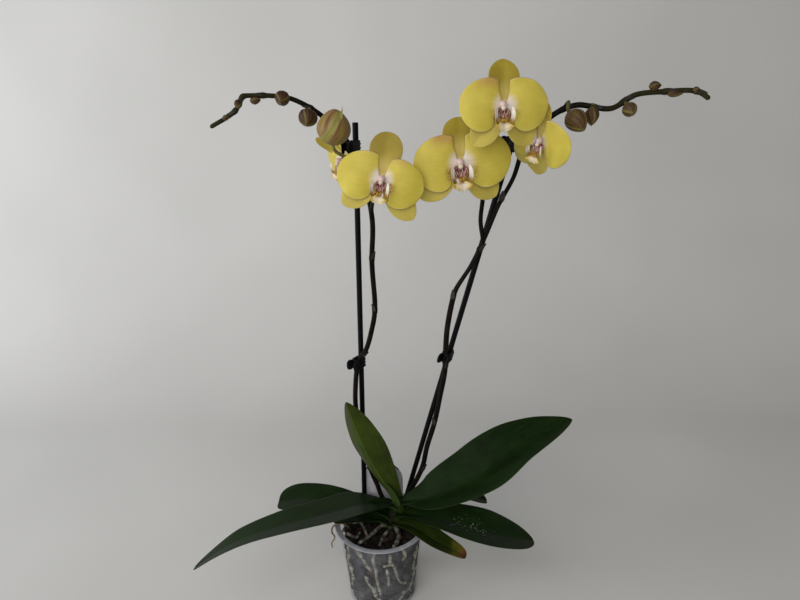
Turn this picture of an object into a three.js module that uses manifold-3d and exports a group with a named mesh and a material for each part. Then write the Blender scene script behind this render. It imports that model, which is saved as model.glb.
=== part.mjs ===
// A moth orchid (Phalaenopsis) in a clear nursery pot: bark, crown, leaves, two staked flower
// spikes, five open flowers and their buds. Millimetres, +Z up, front of the plant towards -Y.
// The origin is the centre of the pot's underside. The package manifold-3d joins and cuts.
import * as THREE from 'three';
import { mergeVertices } from 'three/addons/utils/BufferGeometryUtils.js';
import Module from 'manifold-3d';

const wasm = await Module();
wasm.setup();

// Driving dimensions.
const potHeight = 110;
const rimRadius = 60;
const rimThickness = 1.6;
const neckRadius = 54.2;
const baseRadius = 45;
const potWall = 1.2;
const drainHoles = 8;
const drainRadius = 4.5;
const drainCircle = 30;
const barkTop = 97;
const stakeRadius = 3.2;
const crownRadius = 8;
const leftSpikeRadius = 2.7;
const rightSpikeRadius = 3.3;
const flowerStalkRadius = 2;
const budStalkRadius = 1.8;
const leafThickness = 2.2;
const leafSeat = 1.5;
const petalThickness = 0.8;
const gap = 0.3;
const clearance = gap + 0.05;

// ---- Shape helpers -------------------------------------------------------------------------

const vec = (x, y, z) => new THREE.Vector3(x, y, z);
const through = (points) => new THREE.CatmullRomCurve3(points.map((p) => vec(...p)));
const degrees = THREE.MathUtils.degToRad;

/** A geometry as a manifold-3d solid, its coincident vertices merged and slivers dropped. */
function solid(geometry) {
  const bare = geometry.clone();
  bare.deleteAttribute('normal');
  bare.deleteAttribute('uv');
  const merged = mergeVertices(bare, 1e-4);
  const index = Array.from(merged.index.array);
  const triVerts = [];
  for (let i = 0; i < index.length; i += 3) {
    const [a, b, c] = index.slice(i, i + 3);
    if (a !== b && b !== c && c !== a) triVerts.push(a, b, c);
  }
  return new wasm.Manifold(new wasm.Mesh({
    numProp: 3,
    vertProperties: new Float32Array(merged.attributes.position.array),
    triVerts: new Uint32Array(triVerts),
  }));
}

/** A manifold-3d solid as a geometry. */
function geometryOf(body) {
  const mesh = body.getMesh();
  const geometry = new THREE.BufferGeometry();
  geometry.setAttribute('position', new THREE.BufferAttribute(mesh.vertProperties, 3));
  geometry.setIndex(new THREE.BufferAttribute(mesh.triVerts, 1));
  return geometry;
}

/** One solid from several geometries that run into each other. */
function fuse(geometries) {
  return geometries.map(solid).reduce((whole, piece) => whole.add(piece));
}

/** A closed sheet. surface(u, v) is its middle face, u along it 0..1 and v across it -1..1. */
function sheet(surface, along, across, thickness) {
  const positions = [];
  const step = 1e-3;
  for (let i = 0; i <= along; i += 1) {
    for (let j = 0; j <= across; j += 1) {
      const u = i / along;
      const v = -1 + (2 * j) / across;
      const ahead = surface(Math.min(u + step, 1), v);
      const behind = surface(Math.max(u - step, 0), v);
      const right = surface(u, v + step);
      const left = surface(u, v - step);
      const normal = ahead.sub(behind).cross(right.sub(left)).normalize();
      const middle = surface(u, v);
      const top = middle.clone().addScaledVector(normal, thickness / 2);
      const bottom = middle.clone().addScaledVector(normal, -thickness / 2);
      positions.push(...top.toArray(), ...bottom.toArray());
    }
  }
  const top = (i, j) => 2 * (i * (across + 1) + j);
  const bottom = (i, j) => top(i, j) + 1;
  const index = [];
  const quad = (a, b, c, d) => index.push(a, b, c, a, c, d);
  for (let i = 0; i < along; i += 1) {
    for (let j = 0; j < across; j += 1) {
      quad(top(i, j), top(i + 1, j), top(i + 1, j + 1), top(i, j + 1));
      quad(bottom(i, j), bottom(i, j + 1), bottom(i + 1, j + 1), bottom(i + 1, j));
    }
    quad(top(i, 0), bottom(i, 0), bottom(i + 1, 0), top(i + 1, 0));
    quad(top(i, across), top(i + 1, across), bottom(i + 1, across), bottom(i, across));
  }
  for (let j = 0; j < across; j += 1) {
    quad(top(0, j), top(0, j + 1), bottom(0, j + 1), bottom(0, j));
    quad(top(along, j), bottom(along, j), bottom(along, j + 1), top(along, j + 1));
  }
  const geometry = new THREE.BufferGeometry();
  geometry.setAttribute('position', new THREE.Float32BufferAttribute(positions, 3));
  geometry.setIndex(index);
  return geometry;
}

/** Width of a blade at s as a share of its widest: rises from base, then falls to the tip. */
function outline(s, { base = 0.3, widest = 0.5, fullness = 1, tip = 0.5 }) {
  if (s < widest) return base + (1 - base) * Math.sin((Math.PI / 2) * (s / widest)) ** fullness;
  return Math.max(0, 1 - ((s - widest) / (1 - widest)) ** 2) ** tip;
}

/**
 * A leaf, petal or sepal. Its midrib follows line, up is roughly the way its face looks, fold
 * lifts both halves into a channel, curl bends the edges back, and lean draws them backwards.
 */
function blade(line, shape) {
  const { halfWidth, fold = 0, curl = 0, lean = 0, up = [0, 0, 1] } = shape;
  const { along = 6, across = 4, thickness = petalThickness } = shape;
  const surface = (u, v) => {
    const s = 1 - (1 - u) ** 1.5;
    const tangent = line.getTangent(s);
    const side = tangent.clone().cross(vec(...up)).normalize();
    const face = side.clone().cross(tangent);
    const width = Math.max(halfWidth * outline(s, shape), 0.4);
    const lift = width * (fold * (Math.sqrt(v * v + 0.01) - 0.1) - curl * v * v);
    return line.getPoint(s)
      .addScaledVector(side, v * width)
      .addScaledVector(face, lift)
      .addScaledVector(tangent, -lean * v * v * (width / halfWidth) * (1 - s));
  };
  return sheet(surface, along, across, thickness);
}

/** A round stem along curve with closed ends; radius(t) is its radius at t = 0..1. */
function stem(curve, radius, steps, sides) {
  const { normals, binormals } = curve.computeFrenetFrames(steps, false);
  const positions = [];
  for (let i = 0; i <= steps; i += 1) {
    const centre = curve.getPointAt(i / steps);
    for (let k = 0; k < sides; k += 1) {
      const angle = (2 * Math.PI * k) / sides;
      const point = centre.clone()
        .addScaledVector(normals[i], radius(i / steps) * Math.cos(angle))
        .addScaledVector(binormals[i], radius(i / steps) * Math.sin(angle));
      positions.push(...point.toArray());
    }
  }
  positions.push(...curve.getPointAt(0).toArray(), ...curve.getPointAt(1).toArray());
  const ring = (i, k) => i * sides + (k % sides);
  const start = (steps + 1) * sides;
  const index = [];
  for (let k = 0; k < sides; k += 1) {
    for (let i = 0; i < steps; i += 1) {
      index.push(ring(i, k), ring(i, k + 1), ring(i + 1, k + 1));
      index.push(ring(i, k), ring(i + 1, k + 1), ring(i + 1, k));
    }
    index.push(start, ring(0, k + 1), ring(0, k));
    index.push(start + 1, ring(steps, k), ring(steps, k + 1));
  }
  const geometry = new THREE.BufferGeometry();
  geometry.setAttribute('position', new THREE.Float32BufferAttribute(positions, 3));
  geometry.setIndex(index);
  return geometry;
}

/** A rod between two points. */
function rod(from, to, radius, sides) {
  const line = new THREE.LineCurve3(from, to);
  return stem(line, () => radius, 1, sides);
}

/** A solid of revolution about Z from [radius, height] pairs. */
function turned(profile, segments) {
  const points = profile.map(([r, z]) => new THREE.Vector2(r, z));
  return new THREE.LatheGeometry(points, segments).rotateX(Math.PI / 2);
}

const orchid = new THREE.Group();

/** Adds one named mesh to a group, with its own material. */
function place(name, geometry, look, group = orchid) {
  const { color, roughness, opacity = 1 } = look;
  const material = new THREE.MeshStandardMaterial({
    color, roughness, metalness: 0, opacity, transparent: opacity < 1,
  });
  const mesh = new THREE.Mesh(geometry, material);
  mesh.name = name;
  group.add(mesh);
  return mesh;
}

const clearPlastic = { color: '#b9bcc0', roughness: 0.25, opacity: 0.35 };
const bark = { color: '#2a1c14', roughness: 0.95 };
const leafGreen = { color: '#26381a', roughness: 0.45 };
const youngLeafGreen = { color: '#3f5a1f', roughness: 0.45 };
const fadedLeaf = { color: '#5c5a1e', roughness: 0.6 };
const darkStem = { color: '#1f2115', roughness: 0.5 };
const blackPlastic = { color: '#0d0e10', roughness: 0.4 };
const greyLabel = { color: '#9a97a0', roughness: 0.5 };
const rootVelamen = { color: '#8f8f78', roughness: 0.85 };
const dryRoot = { color: '#6b5c4a', roughness: 0.9 };
const petalYellow = { color: '#c4bb45', roughness: 0.6 };
const sepalYellow = { color: '#b5a43c', roughness: 0.6 };
const lipWhite = { color: '#e2d6b8', roughness: 0.55 };
const budSkin = { color: '#7a6a3a', roughness: 0.55 };

// ---- Pot: one thin tapered moulding with a flat flange for a rim and drain holes --------------

const neckHeight = potHeight - rimThickness;
const innerRadius = (z) => baseRadius - potWall + ((neckRadius - baseRadius) * z) / neckHeight;
let pot = solid(turned([
  [0, 0], [baseRadius - 1, 0], [baseRadius, 1], [neckRadius, neckHeight],
  [rimRadius - 0.5, neckHeight], [rimRadius, neckHeight + 0.6], [rimRadius - 0.4, potHeight],
  [innerRadius(potHeight) + 0.6, potHeight], [innerRadius(neckHeight), neckHeight],
  [innerRadius(potWall + 1), potWall + 1], [innerRadius(potWall) - 1, potWall], [0, potWall],
], 48));
for (let i = 0; i < drainHoles; i += 1) {
  const angle = (2 * Math.PI * i) / drainHoles;
  const x = drainCircle * Math.cos(angle);
  const y = drainCircle * Math.sin(angle);
  pot = pot.subtract(solid(rod(vec(x, y, -1), vec(x, y, potWall + 1), drainRadius, 12)));
}
place('pot', geometryOf(pot), clearPlastic);

// ---- Stakes: two straight rods pushed down into the bark -------------------------------------

const stakes = {
  left: { foot: vec(-24, 30, 12), top: vec(-17.2, 30, 602) },
  right: { foot: vec(10, 39.4, 25), top: vec(149, 10, 588) },
};
for (const [side, { foot, top }] of Object.entries(stakes)) {
  place(`stake_${side}`, rod(foot, top, stakeRadius, 10), blackPlastic);
}

// ---- Crown: the short leaning stem that carries leaves, roots and spikes ----------------------

const crownLine = through([[9, 2, 84], [13, 4, 104], [19, 8, 122], [22, 8, 136]]);
const crownSwell = (t) => crownRadius * (0.8 + 0.2 * Math.sin(3 * t));
const crownShape = (margin) => stem(crownLine, (t) => crownSwell(t) + margin, 6, 12);
const crownRoom = solid(crownShape(clearance));
place('crown', crownShape(0), youngLeafGreen);

// ---- Bark: chips packed to just under the rim, modelled as one settled plug -------------------

const labelTag = {
  width: 54, centre: -1.5, y: 36, shoulder: 104, top: 171, tongue: 20, foot: 45, thickness: 0.8,
};

/** The plant tag's outline grown by margin: a round-topped head over a tongue in the bark. */
function tagPlate(margin) {
  const half = labelTag.width / 2 + margin;
  const narrow = labelTag.tongue / 2 + margin;
  const shape = new THREE.Shape();
  shape.moveTo(-narrow, labelTag.foot - margin);
  shape.lineTo(narrow, labelTag.foot - margin);
  shape.lineTo(narrow, labelTag.shoulder - margin);
  shape.lineTo(half, labelTag.shoulder - margin);
  shape.lineTo(half, labelTag.top - half);
  shape.absarc(0, labelTag.top - half, half, 0, Math.PI, false);
  shape.lineTo(-half, labelTag.shoulder - margin);
  shape.lineTo(-narrow, labelTag.shoulder - margin);
  shape.closePath();
  const depth = labelTag.thickness + 2 * margin;
  const plate = new THREE.ExtrudeGeometry(shape, { depth, bevelEnabled: false, curveSegments: 16 });
  return plate.translate(0, 0, -depth / 2).rotateX(Math.PI / 2)
    .translate(labelTag.centre, labelTag.y, 0);
}

const barkRadius = (z) => innerRadius(z) - clearance;
let barkPlug = solid(turned([
  [0, potWall + gap], [barkRadius(potWall + 1) - 2, potWall + gap], [barkRadius(6), 6],
  [barkRadius(barkTop - 3), barkTop - 3], [barkRadius(barkTop) - 4, barkTop - 1],
  [30, barkTop + 0.5], [0, barkTop + 2],
], 36));
barkPlug = barkPlug.subtract(solid(crownShape(2 * clearance)));
for (const { foot, top } of Object.values(stakes)) {
  const down = foot.clone().sub(top).normalize();
  const end = foot.clone().addScaledVector(down, gap);
  barkPlug = barkPlug.subtract(solid(rod(top, end, stakeRadius + clearance, 10)));
}
barkPlug = barkPlug.subtract(solid(tagPlate(clearance)));
place('bark_medium', geometryOf(barkPlug), bark);
place('plant_label', tagPlate(0), greyLabel);

// ---- Leaves: thick channelled blades, each springing from the crown ---------------------------

/** A point just under the crown's skin at share t up it, on the side that faces azimuth. */
function crownSeat(t, azimuth) {
  const out = vec(Math.cos(degrees(azimuth)), Math.sin(degrees(azimuth)), 0);
  return crownLine.getPointAt(t).addScaledVector(out, crownSwell(t) - leafSeat).toArray();
}

const leaves = {
  leaf_centre: {
    line: [[22, 7, 135], [2, 0, 175], [-15, -6.7, 213], [-25.5, -12.5, 248], [-36, -19.2, 293]],
    halfWidth: 24.5, base: 0.34, widest: 0.54, tip: 0.75, fold: -0.58, up: [-0.5, -1, 0.1],
    look: youngLeafGreen,
  },
  leaf_right: {
    line: [crownSeat(0.92, -15), [65, 1.6, 139.5], [121, 15.4, 156.8], [177, 41, 184],
      [261, 80, 206]],
    halfWidth: 38.7, base: 0.12, widest: 0.58, tip: 0.75, fold: 0.6, up: [0, -0.25, 1],
    look: leafGreen,
  },
  leaf_left: {
    line: [crownSeat(0.85, 190), [-24, -6.5, 138], [-64, -26.5, 141], [-118, -44.6, 139.3],
      [-174.3, -53, 122.8], [-224.5, -61.5, 92]],
    halfWidth: 34, base: 0.24, widest: 0.3, tip: 0.42, fold: 0.18, up: [0, 0.25, 1],
    look: leafGreen,
  },
  leaf_left_back: {
    line: [crownSeat(0.55, 180), [-25, 7.5, 126.3], [-63, 13.8, 129], [-99.5, 17.5, 130.6],
      [-134.5, 17, 125]],
    halfWidth: 26, base: 0.26, widest: 0.79, tip: 0.27, fold: 0.22, look: leafGreen,
  },
  leaf_right_low: {
    line: [crownSeat(0.62, -28), [83.4, -19, 122.5], [136, -32, 114.5], [193, -27, 95]],
    halfWidth: 33, base: 0.14, widest: 0.67, tip: 0.65, fold: 0.28, look: leafGreen,
  },
  leaf_front_low: {
    line: [crownSeat(0.4, -62), [44, -22, 114], [70, -38, 107], [105, -49, 93]],
    halfWidth: 15.5, base: 0.3, widest: 0.59, tip: 0.35, fold: 0.3, look: fadedLeaf,
  },
  leaf_right_back: {
    line: [crownSeat(0.68, 10), [62, 22, 129], [100, 32.5, 125.5], [141, 32, 110]],
    halfWidth: 13, base: 0.12, widest: 0.5, fold: 0.3, look: leafGreen,
  },
  leaf_left_low: {
    line: [crownSeat(0.4, 205), [-22, -3, 116], [-42, -6, 117], [-61, -8, 114]],
    halfWidth: 13, base: 0.4, widest: 0.5, fold: 0.25, look: fadedLeaf,
  },
};
for (const [name, { line, look, ...shape }] of Object.entries(leaves)) {
  const form = { along: 9, across: 6, thickness: leafThickness, ...shape };
  place(name, geometryOf(solid(blade(through(line), form)).subtract(crownRoom)), look);
}

// ---- Roots: aerial roots from the crown over the bark, and one dried root over the rim ---------

const roots = {
  root_left: {
    line: [crownSeat(0.33, 222), [0, -4, 102.5], [-9, -14, 101.6], [-20, -25, 100.6],
      [-29, -33, 99.8]],
    radius: 2.3, look: rootVelamen,
  },
  root_middle: {
    line: [crownSeat(0.33, 264), [10, -10, 102], [4, -20, 101.4], [-2, -37, 100.4]],
    radius: 2.1, look: rootVelamen,
  },
  root_right: {
    line: [crownSeat(0.33, 305), [20, -10, 102.6], [23, -22, 102], [19, -35, 101],
      [15, -41, 100.6]],
    radius: 2.9, look: rootVelamen,
  },
};
for (const [name, { line, radius, look }] of Object.entries(roots)) {
  const shape = stem(through(line), (t) => radius * (1 - 0.3 * t ** 4), 10, 8);
  place(name, geometryOf(solid(shape).subtract(crownRoom)), look);
}
const dryLine = through([
  [-42, -2, 99.5], [-49, -6.5, 109.5], [-55, -10, 112.8], [-61.8, -12.5, 110], [-62.4, -12.4, 98],
  [-61.8, -12.4, 90], [-63.5, -12.4, 82], [-64.2, -12.4, 75.5],
]);
place('root_dry', stem(dryLine, () => 0.8, 16, 6), dryRoot);

// ---- Flowers: sepals behind, petals in front, the lip and column at the centre ----------------

// Each flower's centre, width, the way it faces and rolls, and the organs that differ from the
// table below. A young flower's sepals still reach forwards.
const flowers = {
  left: {
    at: [12, -52, 554], width: 83, yaw: -3, nod: -6, roll: -9,
    differs: {
      sepal_dorsal: { reach: 43, halfWidth: 15.5 },
      sepal_left: { angle: 219, reach: 45 },
      sepal_right: { angle: 316, reach: 48 },
      petal_left: { reach: 42.5 },
      petal_right: { angle: -2 },
    },
  },
  middle: {
    at: [89, -40, 567], width: 95, yaw: 3, nod: -6, roll: 5,
    differs: {
      sepal_dorsal: { angle: 88, reach: 36.5 },
      sepal_left: { angle: 216, reach: 44 },
      sepal_right: { angle: 313 },
      petal_left: { reach: 39 },
      petal_right: { reach: 42 },
    },
  },
  top: { at: [125, -62, 620], width: 83, yaw: 6, nod: -8, roll: 0 },
  right: {
    at: [163, -42, 587], width: 76, yaw: -48, nod: 14, roll: -15,
    differs: {
      sepal_dorsal: { angle: 100 },
      sepal_left: { angle: 226, halfWidth: 13 },
      sepal_right: { angle: 267, halfWidth: 13.5, tip: 0.85, lift: -3.2 },
      petal_left: { reach: 33, halfWidth: 22 },
      petal_right: { reach: 37, halfWidth: 24 },
    },
  },
  rear: {
    at: [-29, 1, 566], width: 70, yaw: -57, nod: 8, roll: -12,
    differs: {
      sepal_dorsal: { angle: 108, halfWidth: 8 },
      petal_left: { angle: 190, halfWidth: 24 },
      petal_right: { angle: -12, reach: 36, halfWidth: 17 },
    },
  },
};
const hubRadius = 2.4;
const hubBack = 3.2;

// Each organ in a flower 80 mm wide: its direction, reach and half width from the centre, how
// far it starts in front of the hub, and how its tip bends back.
const organs = {
  sepal_dorsal: { angle: 90, reach: 40, halfWidth: 14, base: 0.2, widest: 0.6, lift: -1, back: 5 },
  sepal_left: {
    angle: 231, reach: 42, halfWidth: 12.5, base: 0.16, widest: 0.6, tip: 0.66, lift: -1, back: 6,
  },
  sepal_right: {
    angle: 309, reach: 42, halfWidth: 12.5, base: 0.16, widest: 0.6, tip: 0.66, lift: -1, back: 6,
  },
  petal_left: { angle: 177, reach: 40, halfWidth: 23, base: 0.1, widest: 0.5, lift: 1.2, back: 2 },
  petal_right: { angle: 3, reach: 40, halfWidth: 23, base: 0.1, widest: 0.5, lift: 1.2, back: 2 },
};

/** One sepal or petal in a flower's own frame: x right, y up, z out of its face. */
function organ({ angle, reach, lift, back, ...shape }, scale) {
  const isPetal = lift > 0;
  const start = hubRadius / scale + clearance + 0.1;
  const way = vec(Math.cos(degrees(angle)), Math.sin(degrees(angle)), 0);
  const points = [0, 0.33, 0.66, 1].map((s) => {
    const dome = isPetal ? 3 * Math.sin(Math.PI * s) : 0;
    return way.clone().multiplyScalar(start + (reach - start) * s)
      .setZ(lift + dome - back * s * s).multiplyScalar(scale);
  });
  const form = {
    ...shape,
    halfWidth: shape.halfWidth * scale,
    fullness: isPetal ? 0.6 : 0.9,
    curl: isPetal ? 0.12 : 0.05,
    lean: isPetal ? 7 : 0,
    fold: isPetal ? 0 : 0.15,
  };
  return blade(new THREE.CatmullRomCurve3(points), form);
}

/** The lip with the column over it, in a flower's own frame. */
function lip(scale) {
  const points = (list) => list.map((p) => vec(...p).multiplyScalar(scale));
  const line = (list) => new THREE.CatmullRomCurve3(points(list));
  const hub = rod(vec(0, 0, -hubBack), vec(0, 0, 4 * scale), hubRadius, 8);
  const column = stem(line([[0, 0, 1.5], [0, 0.5, 5], [0, -1.5, 9.5]]),
    (t) => scale * (2.2 + 1.2 * Math.sin(Math.PI * Math.min(t * 0.8, 1))), 4, 8);
  const middle = blade(line([[0, -1, 3], [0, -8, 8], [0, -15, 12], [0, -22, 9.5]]), {
    halfWidth: 7 * scale, base: 0.4, widest: 0.76, fold: 0.25, thickness: 1.4, along: 5,
  });
  const side = (s) => blade(line([[1.2 * s, -2, 3.5], [5.8 * s, -4, 9], [7.2 * s, -11.5, 13]]), {
    halfWidth: 3.8 * scale, base: 0.45, widest: 0.6, up: [-s, 0.2, 0.6], thickness: 1.2, along: 4,
    across: 2,
  });
  return geometryOf(fuse([hub, column, middle, side(-1), side(1)]));
}

/** The way a flower or bud faces. */
function facing({ yaw, nod }) {
  const level = Math.cos(degrees(nod));
  return vec(Math.sin(degrees(yaw)) * level, -Math.cos(degrees(yaw)) * level, -Math.sin(degrees(nod)));
}

for (const [name, flower] of Object.entries(flowers)) {
  const group = new THREE.Group();
  group.position.set(...flower.at);
  group.rotateZ(degrees(flower.yaw));
  group.rotateX(degrees(90 + flower.nod));
  group.rotateZ(degrees(flower.roll));
  orchid.add(group);
  const scale = flower.width / 80;
  for (const [part, shape] of Object.entries(organs)) {
    const look = part.startsWith('petal') ? petalYellow : sepalYellow;
    const grown = { ...shape, ...flower.differs?.[part] };
    place(`flower_${name}_${part}`, organ(grown, scale), look, group);
  }
  place(`flower_${name}_lip`, lip(scale), lipWhite, group);
}

// ---- Buds: closed eggs, each on the end of its own stalk --------------------------------------

const buds = {
  bud_left_1: { at: [-31, -34, 585], length: 34, radius: 16.5, toward: [-0.15, -0.15, 0.95] },
  bud_left_2: { at: [-60, -7, 615], length: 19, radius: 9.8, toward: [-0.1, -0.75, -0.6] },
  bud_left_3: { at: [-83, -13, 630], length: 15, radius: 7.5, toward: [-0.1, -0.95, -0.25] },
  bud_right_1: { at: [193.5, -28, 613], length: 26, radius: 10.8, toward: [0.45, -0.6, -0.65] },
  bud_right_2: { at: [218, -22.3, 617.5], length: 19, radius: 7, toward: [-0.08, -0.25, -0.95] },
  bud_right_3: { at: [249, -28, 617], length: 15, radius: 7.2, toward: [0.1, -0.9, -0.4] },
};

/** An egg-shaped bud from its stalk end at the origin, along +Z. */
function egg(length, radius) {
  const profile = [];
  const steps = 7;
  for (let i = 0; i <= steps; i += 1) {
    const t = i / steps;
    const r = radius * Math.sin(Math.PI * t ** 0.85) ** 0.8;
    profile.push([i === 0 || i === steps ? 0 : r, length * t]);
  }
  return turned(profile, 12);
}

for (const [name, { at, length, radius, toward }] of Object.entries(buds)) {
  const mesh = place(name, egg(length, radius), budSkin);
  mesh.position.set(...at);
  mesh.quaternion.setFromUnitVectors(vec(0, 0, 1), vec(...toward).normalize());
}

// ---- Spikes: the flower stems, with a stalk to every flower and bud ----------------------------

// Each spike is its stems, the first from the crown and any other from a point of the first, its
// stalks as [flower or bud, stem, point of the stem that it leaves], and its youngest tip buds as
// [x, y, z, half length, half height].
const spikes = {
  left: {
    radius: leftSpikeRadius,
    stems: [[
      crownSeat(0.58, 112), [6, 21, 131], [-3, 21, 144.6], [-13, 21.5, 178.5], [-28, 21.5, 254.5],
      [-27.8, 22, 292.6], [-23.3, 24, 323], [-12.9, 19, 343], [-5.7, 14, 369], [-1, 10, 396],
      [-2.4, 2, 455], [-0.7, -1, 505], [-11, 10, 553], [-22, 20, 586], [-49, 6, 610],
      [-70, -1, 624], [-84, -5, 629], [-116, -13, 631], [-123, -15, 630], [-131, -18, 617],
      [-156, -22, 602],
    ]],
    stalks: [['left', 0, 11], ['rear', 0, 12], ['bud_left_1', 0, 12.7], ['bud_left_2', 0, 14.5],
      ['bud_left_3', 0, 16]],
    tips: [[-111, -13.5, 626, 6, 4], [-127, -17.5, 623, 4.5, 4.5], [-140, -20.5, 610.5, 3.6, 3]],
  },
  right: {
    radius: rightSpikeRadius,
    stems: [[
      crownSeat(0.6, 62), [35, 23, 131.8], [46.9, 25, 152.6], [54.4, 26, 170.8], [60, 22, 204],
      [69.2, 20, 241], [75.4, 17, 279], [80.6, 15, 313], [81.2, 14, 338], [81.7, 12, 369],
      [84.9, 10, 397], [92.7, 8, 422], [111.7, 8, 457], [122.1, 6, 482], [134.7, 3, 517],
      [148.3, 0, 546], [158.5, 2, 577], [178, -8, 605], [203, -13, 618], [237, -20, 615],
      [257, -23, 627], [284, -28, 630], [312, -33, 630], [324, -36, 623],
    ], [[120, 6.5, 477], [116, 3, 500], [116.5, -4, 525], [117, -10, 560], [122, -16, 590]]],
    stalks: [['middle', 1, 2], ['top', 1, 4], ['right', 0, 16], ['bud_right_1', 0, 17.6],
      ['bud_right_2', 0, 18.5], ['bud_right_3', 0, 19.5]],
    tips: [[273.5, -28, 634.8, 6.2, 4.6], [292.5, -31, 627.3, 8, 3.2], [311, -33.5, 631, 3.8, 3.2]],
  },
};

/** A stalk that leaves a stem at a point and arrives at tip, heading along heading. */
function stalk(line, share, tip, heading, thick) {
  const start = line.getPoint(share);
  const reach = start.distanceTo(tip) * 0.4;
  const way = line.getTangent(share).lerp(heading, 0.4).normalize();
  const first = start.clone().addScaledVector(way, reach);
  const second = tip.clone().addScaledVector(heading, -reach);
  const curve = new THREE.CubicBezierCurve3(start, first, second, tip);
  return stem(curve, () => thick, 6, 6);
}

/** A whole spike as one solid, grown by margin where a clip has to be bored for it. */
function spikeSolid({ radius, stems, stalks, tips }, margin = 0) {
  const lines = stems.map(through);
  const pieces = lines.map((line, i) => stem(
    line,
    (t) => margin + radius * (i === 0 ? 1 - 0.3 * t ** 3 : 0.8),
    2 * stems[i].length - (i === 0 ? 6 : 0),
    7,
  ));
  for (const [name, index, point] of stalks) {
    const share = point / (stems[index].length - 1);
    const target = flowers[name] ?? buds[name];
    const heading = flowers[name] ? facing(target) : vec(...target.toward).normalize();
    const back = flowers[name] ? hubBack + gap : gap;
    const tip = vec(...target.at).addScaledVector(heading, -back);
    const thick = flowers[name] ? flowerStalkRadius : budStalkRadius;
    pieces.push(stalk(lines[index], share, tip, heading, margin + thick));
  }
  for (const [x, y, z, long, high] of tips) {
    pieces.push(new THREE.SphereGeometry(1, 8, 5).scale(long, high, high).translate(x, y, z));
  }
  return fuse(pieces).subtract(crownRoom);
}

for (const [side, spike] of Object.entries(spikes)) {
  place(`spike_${side}`, geometryOf(spikeSolid(spike)), darkStem);
}

// ---- Clips: sprung black clips that hold each spike to its stake -------------------------------

const clips = {
  clip_left_low: { side: 'left', height: 322, spikeAt: [-25, 24, 320] },
  clip_left_top: { side: 'left', height: 581, spikeAt: [-21, 19, 582] },
  clip_right_low: { side: 'right', height: 333, spikeAt: [82, 14, 335] },
  clip_right_top: { side: 'right', height: 579, spikeAt: [158.7, 1.7, 578], tabsAt: -1 },
};
const clipWall = 1.2;
const clipHeight = 13;
const tabThickness = 1.8;
const tabSplay = 24;
const tabSeat = 1.2;
const tabOutline = [[-1, -4.5], [5, -7], [8.5, -5.5], [9.5, 2], [6.5, 7], [-1, 4.5]];
const toothWidth = 1.6;

/** One clip: a block round stake and stem with two flared finger tabs, bored for both. */
function clip({ side, height, spikeAt, tabsAt = 1 }) {
  const { foot, top } = stakes[side];
  const axis = top.clone().sub(foot).normalize();
  const seat = foot.clone().addScaledVector(axis, (height - foot.z) / axis.z);
  const across = vec(...spikeAt).sub(seat);
  across.addScaledVector(axis, -across.dot(axis));
  const reach = across.length();
  across.normalize();
  const frame = new THREE.Matrix4().makeBasis(across, axis.clone().cross(across), axis);
  frame.setPosition(seat);
  const near = -(stakeRadius + clipWall);
  const far = reach + spikes[side].radius + clipWall;
  const block = new THREE.BoxGeometry(far - near, 2 * (stakeRadius + clipWall), clipHeight)
    .translate((far + near) / 2, 0, 0);
  const flare = new THREE.Shape(tabOutline.map((point) => new THREE.Vector2(...point)));
  const tabs = [1, -1].map((way) => new THREE.ExtrudeGeometry(
    flare,
    { depth: tabThickness, bevelEnabled: false },
  ).rotateX(Math.PI / 2).translate(0, tabThickness / 2, 0)
    .rotateZ(degrees(tabSplay * way + (tabsAt > 0 ? 0 : 180)))
    .translate(tabsAt > 0 ? far - tabSeat : near + tabSeat, way * tabsAt * tabSeat, 0));
  const teeth = [-1, 0, 1].map((row) => (
    new THREE.BoxGeometry(toothWidth, 2 * (stakeRadius + 2 * clipWall), toothWidth)
      .translate((far + near) / 2, 0, (row * clipHeight) / 3)));
  const body = fuse([block, ...tabs, ...teeth].map((piece) => piece.applyMatrix4(frame)));
  return body.subtract(solid(rod(foot, top, stakeRadius + clearance, 12)))
    .subtract(spikeSolid(spikes[side], clearance));
}

for (const [name, details] of Object.entries(clips)) {
  place(name, geometryOf(clip(details)), blackPlastic);
}

export default orchid;
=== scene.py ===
from math import radians

import bpy
import numpy as np
from mathutils import Matrix, Vector


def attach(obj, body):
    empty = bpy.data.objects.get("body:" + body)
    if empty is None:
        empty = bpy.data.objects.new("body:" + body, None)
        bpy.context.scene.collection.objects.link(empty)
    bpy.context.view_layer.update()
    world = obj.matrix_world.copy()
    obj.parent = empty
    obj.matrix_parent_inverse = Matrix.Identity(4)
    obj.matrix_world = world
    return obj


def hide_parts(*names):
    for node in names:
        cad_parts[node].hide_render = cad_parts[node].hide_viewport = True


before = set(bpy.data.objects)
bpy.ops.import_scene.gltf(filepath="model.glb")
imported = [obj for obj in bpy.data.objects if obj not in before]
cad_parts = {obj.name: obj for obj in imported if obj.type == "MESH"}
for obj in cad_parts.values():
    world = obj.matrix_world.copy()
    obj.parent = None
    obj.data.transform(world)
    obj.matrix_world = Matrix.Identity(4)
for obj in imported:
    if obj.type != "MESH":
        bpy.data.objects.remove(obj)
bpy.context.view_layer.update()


# ---- Room: a seamless paper sweep, window light, and the camera ---------------------------------
# A roll of matt white paper hangs behind the plant and runs forward under the pot. A large window
# lights it from the camera's side, a smaller one from the left, and the room fills the shadows.

def srgb(code):
    """Linear colour of a hex code. A channel c becomes ((c + 0.055) / 1.055) to the power 2.4, or
    c / 12.92 where c is at most 0.04045."""
    c = np.array([int(code[i:i + 2], 16) / 255 for i in (1, 3, 5)])
    return (*np.where(c > 0.04045, ((c + 0.055) / 1.055) ** 2.4, c / 12.92).tolist(), 1)


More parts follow.
